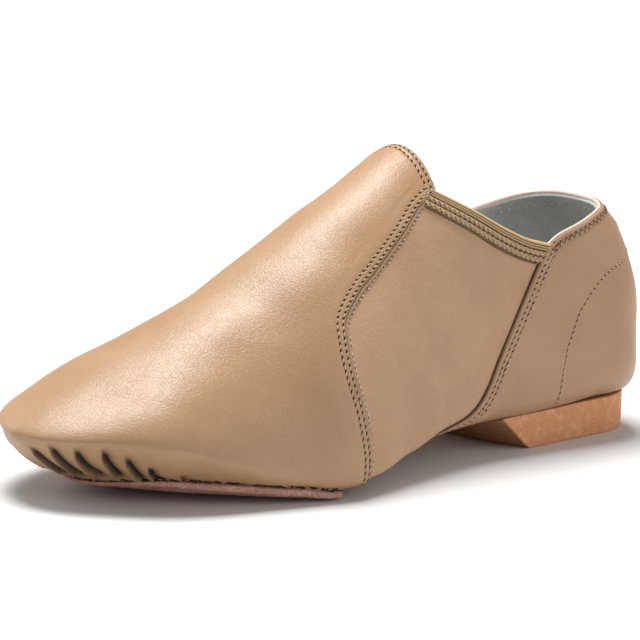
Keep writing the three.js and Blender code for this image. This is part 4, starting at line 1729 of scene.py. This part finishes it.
@dataclass
class HeelBlock:
    """The low block under the heel, with its raked front face."""

    last: Last
    fronts: int = 90
    sides: int = 90
    backs: int = 110
    # Share of the height and inset of each line of the floor's bevel.
    bevel: tuple = ((0.0, 0.5), (0.012, 0.22), (0.04, 0.04))
    insets: tuple[float, ...] = (0.0, 0.4, 1.4, 4.0, 9.0)
    roughness: float = 0.035
    shade: float = 0.55

    def outline(self, front: float, width: float) -> np.ndarray:
        """Plan outline at one level, from the inner front corner along the front edge."""
        s = self.last.sizes
        half = width / 2
        share = np.linspace(-1, 1, self.fronts, endpoint=False)
        bow = s.breast_bow * (1 - share**2) + s.breast_skew * (1 - share) / 2
        face = np.stack([front + bow, half * share], -1)
        turn = np.linspace(math.pi / 2, -math.pi / 2, self.backs)
        arc = np.stack(
            [s.heel_back + s.heel_round * (1 - np.cos(turn)), s.heel_round * np.sin(turn)], -1
        )
        to_arc = np.linspace(0, 1, self.sides, endpoint=False)[:, None]
        outer = np.array([front, half]) * (1 - to_arc) + arc[0] * to_arc
        start = np.array([front + s.breast_skew, -half])
        inner = arc[-1] * (1 - to_arc) + start * to_arc
        return np.concatenate([face, outer, arc, inner[1:]])

    def build(self, finishes: Finishes) -> bpy.types.Object:
        """Makes the block."""
        s = self.last.sizes
        floor = self.outline(s.breast_floor, s.heel_width - 2 * s.heel_taper)
        lean = self.outline(s.breast_top, s.heel_width) - floor
        high = s.heel_seat + s.heel_lip
        rim = np.full(len(floor), high)
        for _ in range(8):
            edge = floor + lean * (rim / high)[:, None]
            rim = np.minimum(self.last.floor_height(edge, s.gap), high)
        edge = floor + lean * (rim / high)[:, None]
        centre = floor.mean(0)
        draw = np.random.default_rng(11)
        columns = [
            np.column_stack([centre + (floor - centre) * share, np.zeros(len(floor))])
            for share in np.linspace(0, 1, 16)[:-1] ** 0.7
        ]
        for share, inset in self.bevel:
            xy = floor - unit(floor - centre) * inset
            columns.append(np.column_stack([xy, rim * share]))
        for share in np.linspace(0.08, 0.97, 22):
            xy = floor + lean * (rim * share / high)[:, None]
            rough = draw.normal(size=(len(floor), 1)) * self.roughness
            columns.append(np.column_stack([xy + unit(xy - centre) * rough, rim * share]))
        for inset in self.insets:
            xy = edge - unit(edge - centre) * inset
            under = self.last.floor_height(xy, s.gap)
            columns.append(np.column_stack([xy, np.minimum(under, rim)]))
        middle = np.append(centre, s.heel_height)
        columns.append(np.tile(middle, (len(floor), 1)))
        piece = Piece("heel_board_block", self.last)
        # Painted shade on the raked front face.
        front = np.zeros((len(floor), len(columns)))
        front[2 : self.fronts - 1] = self.shade
        piece.grid(np.stack(columns, 1), closed=True, flip=True, fold=front)
        return piece.build(finishes.heel, ("heel_block",), "heel")


@dataclass
class Insole:
    """The grey sock on the insole, inside the lining."""

    last: Last
    columns: int = 160
    across: int = 60
    start: float = 0.04
    end: float = 0.95
    curl: float = 0.5

    def build(self, finishes: Finishes) -> bpy.types.Object:
        """Makes the insole's upper face."""
        s = self.last.sizes
        grow = -(s.layer + s.wall + s.gap)
        at = np.linspace(self.start, self.end, self.columns)
        place = self.last.section(at, grow)
        top = self.last.underside(at) - grow + s.insole
        share = np.clip((place["middle"] - top) / np.maximum(place["down"], 1e-3), 0, 1)
        along = share ** (place["tuck"] / 2)
        width = np.sqrt(np.maximum(1 - along**2, 0)) ** (2 / place["low"])
        low = place["centre"] - place["inner"] * width
        high = place["centre"] + place["outer"] * width
        t = np.linspace(0, 1, self.across)[:, None]
        y = low * (1 - t) + high * t
        z = np.broadcast_to(top, y.shape) + self.curl * (2 * t - 1) ** 4
        piece = Piece("insole_sock", self.last)
        points = np.stack([np.broadcast_to(place["x"], y.shape), y, z], -1)
        piece.grid(points, flip=True, fold=0.0)
        return piece.build(finishes.insole, ("insole",), "insole_board")


@dataclass
class Studio:
    """The camera of the photograph, a pale floor and soft light."""

    last: Last
    azimuth: float = 139.5
    elevation: float = 12.8
    roll: float = 2.2
    distance: float = 2.45
    lens: float = 414.56
    sensor: float = 36.0
    target: tuple[float, float, float] = (125.0, 0.0, 45.0)
    shift: tuple[float, float] = (-0.01375, 0.0109)
    floor_reach: float = 8.0
    floor_tone: Colour = (0.72, 0.72, 0.72)
    # Each lamp's place and size in metres, and its power in watts.
    lamps: tuple = (
        ("key", (-0.02, -0.37, 1.5), 0.7, 34.0),
        ("fill", (-1.1, 1.7, 0.7), 1.6, 12.0),
        ("rim", (0.5, -1.7, 0.9), 1.2, 9.0),
    )
    sky: float = 0.3

    def build(self) -> None:
        """Sets up the camera, the floor, the lamps and the world."""
        a, e, r = (math.radians(v) for v in (self.azimuth, self.elevation, self.roll))
        back = Vector((math.sin(a) * math.cos(e), -math.cos(a) * math.cos(e), math.sin(e)))
        right = Vector((math.cos(a), math.sin(a), 0.0))
        up = back.cross(right)
        turned = right * math.cos(r) + up * math.sin(r)
        raised = up * math.cos(r) - right * math.sin(r)
        target = Vector(self.last.place(np.array(self.target)).tolist())
        data = bpy.data.cameras.new("camera")
        data.lens, data.sensor_width = self.lens, self.sensor
        data.shift_x, data.shift_y = self.shift
        data.clip_start, data.clip_end = 0.05, 60.0
        camera = bpy.data.objects.new("camera", data)
        turn = Matrix((turned, raised, back)).transposed().to_4x4()
        camera.matrix_world = Matrix.Translation(target + back * self.distance) @ turn
        bpy.context.scene.collection.objects.link(camera)
        bpy.context.scene.camera = camera
        self.floor()
        for name, place, size, power in self.lamps:
            self.lamp(name, place, size, power, target)
        world = bpy.data.worlds.new("studio")
        world.use_nodes = True
        shade = world.node_tree.nodes["Background"]
        shade.inputs["Color"].default_value = (1.0, 1.0, 1.0, 1.0)
        shade.inputs["Strength"].default_value = self.sky
        bpy.context.scene.world = world
        bpy.context.scene.view_settings.view_transform = "Standard"

    def lamp(
        self, name: str, place: Sequence[float], size: float, power: float, target: Vector
    ) -> None:
        """Adds one soft square lamp that faces the shoe."""
        data = bpy.data.lights.new(name, "AREA")
        data.size, data.energy = size, power
        lamp = bpy.data.objects.new(name, data)
        lamp.location = place
        lamp.rotation_mode = "QUATERNION"
        lamp.rotation_quaternion = (Vector(place) - target).to_track_quat("Z", "Y")
        bpy.context.scene.collection.objects.link(lamp)

    def floor(self) -> None:
        """Adds the pale floor."""
        mesh = bpy.data.meshes.new("floor")
        ways = ((-1, -1), (1, -1), (1, 1), (-1, 1))
        corners = [(x * self.floor_reach, y * self.floor_reach, 0.0) for x, y in ways]
        mesh.from_pydata(corners, [], [(0, 1, 2, 3)])
        floor = bpy.data.objects.new("floor", mesh)
        s = Shader("pale_floor")
        mesh.materials.append(s.dress(Base_Color=self.floor_tone, Roughness=0.9))
        bpy.context.scene.collection.objects.link(floor)


def main() -> None:
    """Builds the shoe and its studio, piece by piece."""
    logging.basicConfig(level=logging.INFO, format="%(name)s: %(message)s")
    last = Last(ShoeSizes())
    pattern = Pattern(last)
    finishes = Finishes()
    Studio(last).build()
    vamp, quarter = Vamp(last, pattern), Quarter(last, pattern)
    vamp.build(finishes)
    quarter.build(finishes)
    Sides(last, pattern).build(finishes)
    Lining(last, pattern).build(finishes)
    Bands(last, pattern).build(finishes)
    CollarEdge(last, pattern).build(finishes)
    ForefootSole(last).build(finishes)
    HeelBlock(last).build(finishes)
    Insole(last).build(finishes)
    vamp.stitch(finishes)
    quarter.stitch(finishes)


if __name__ == "__main__":
    main()
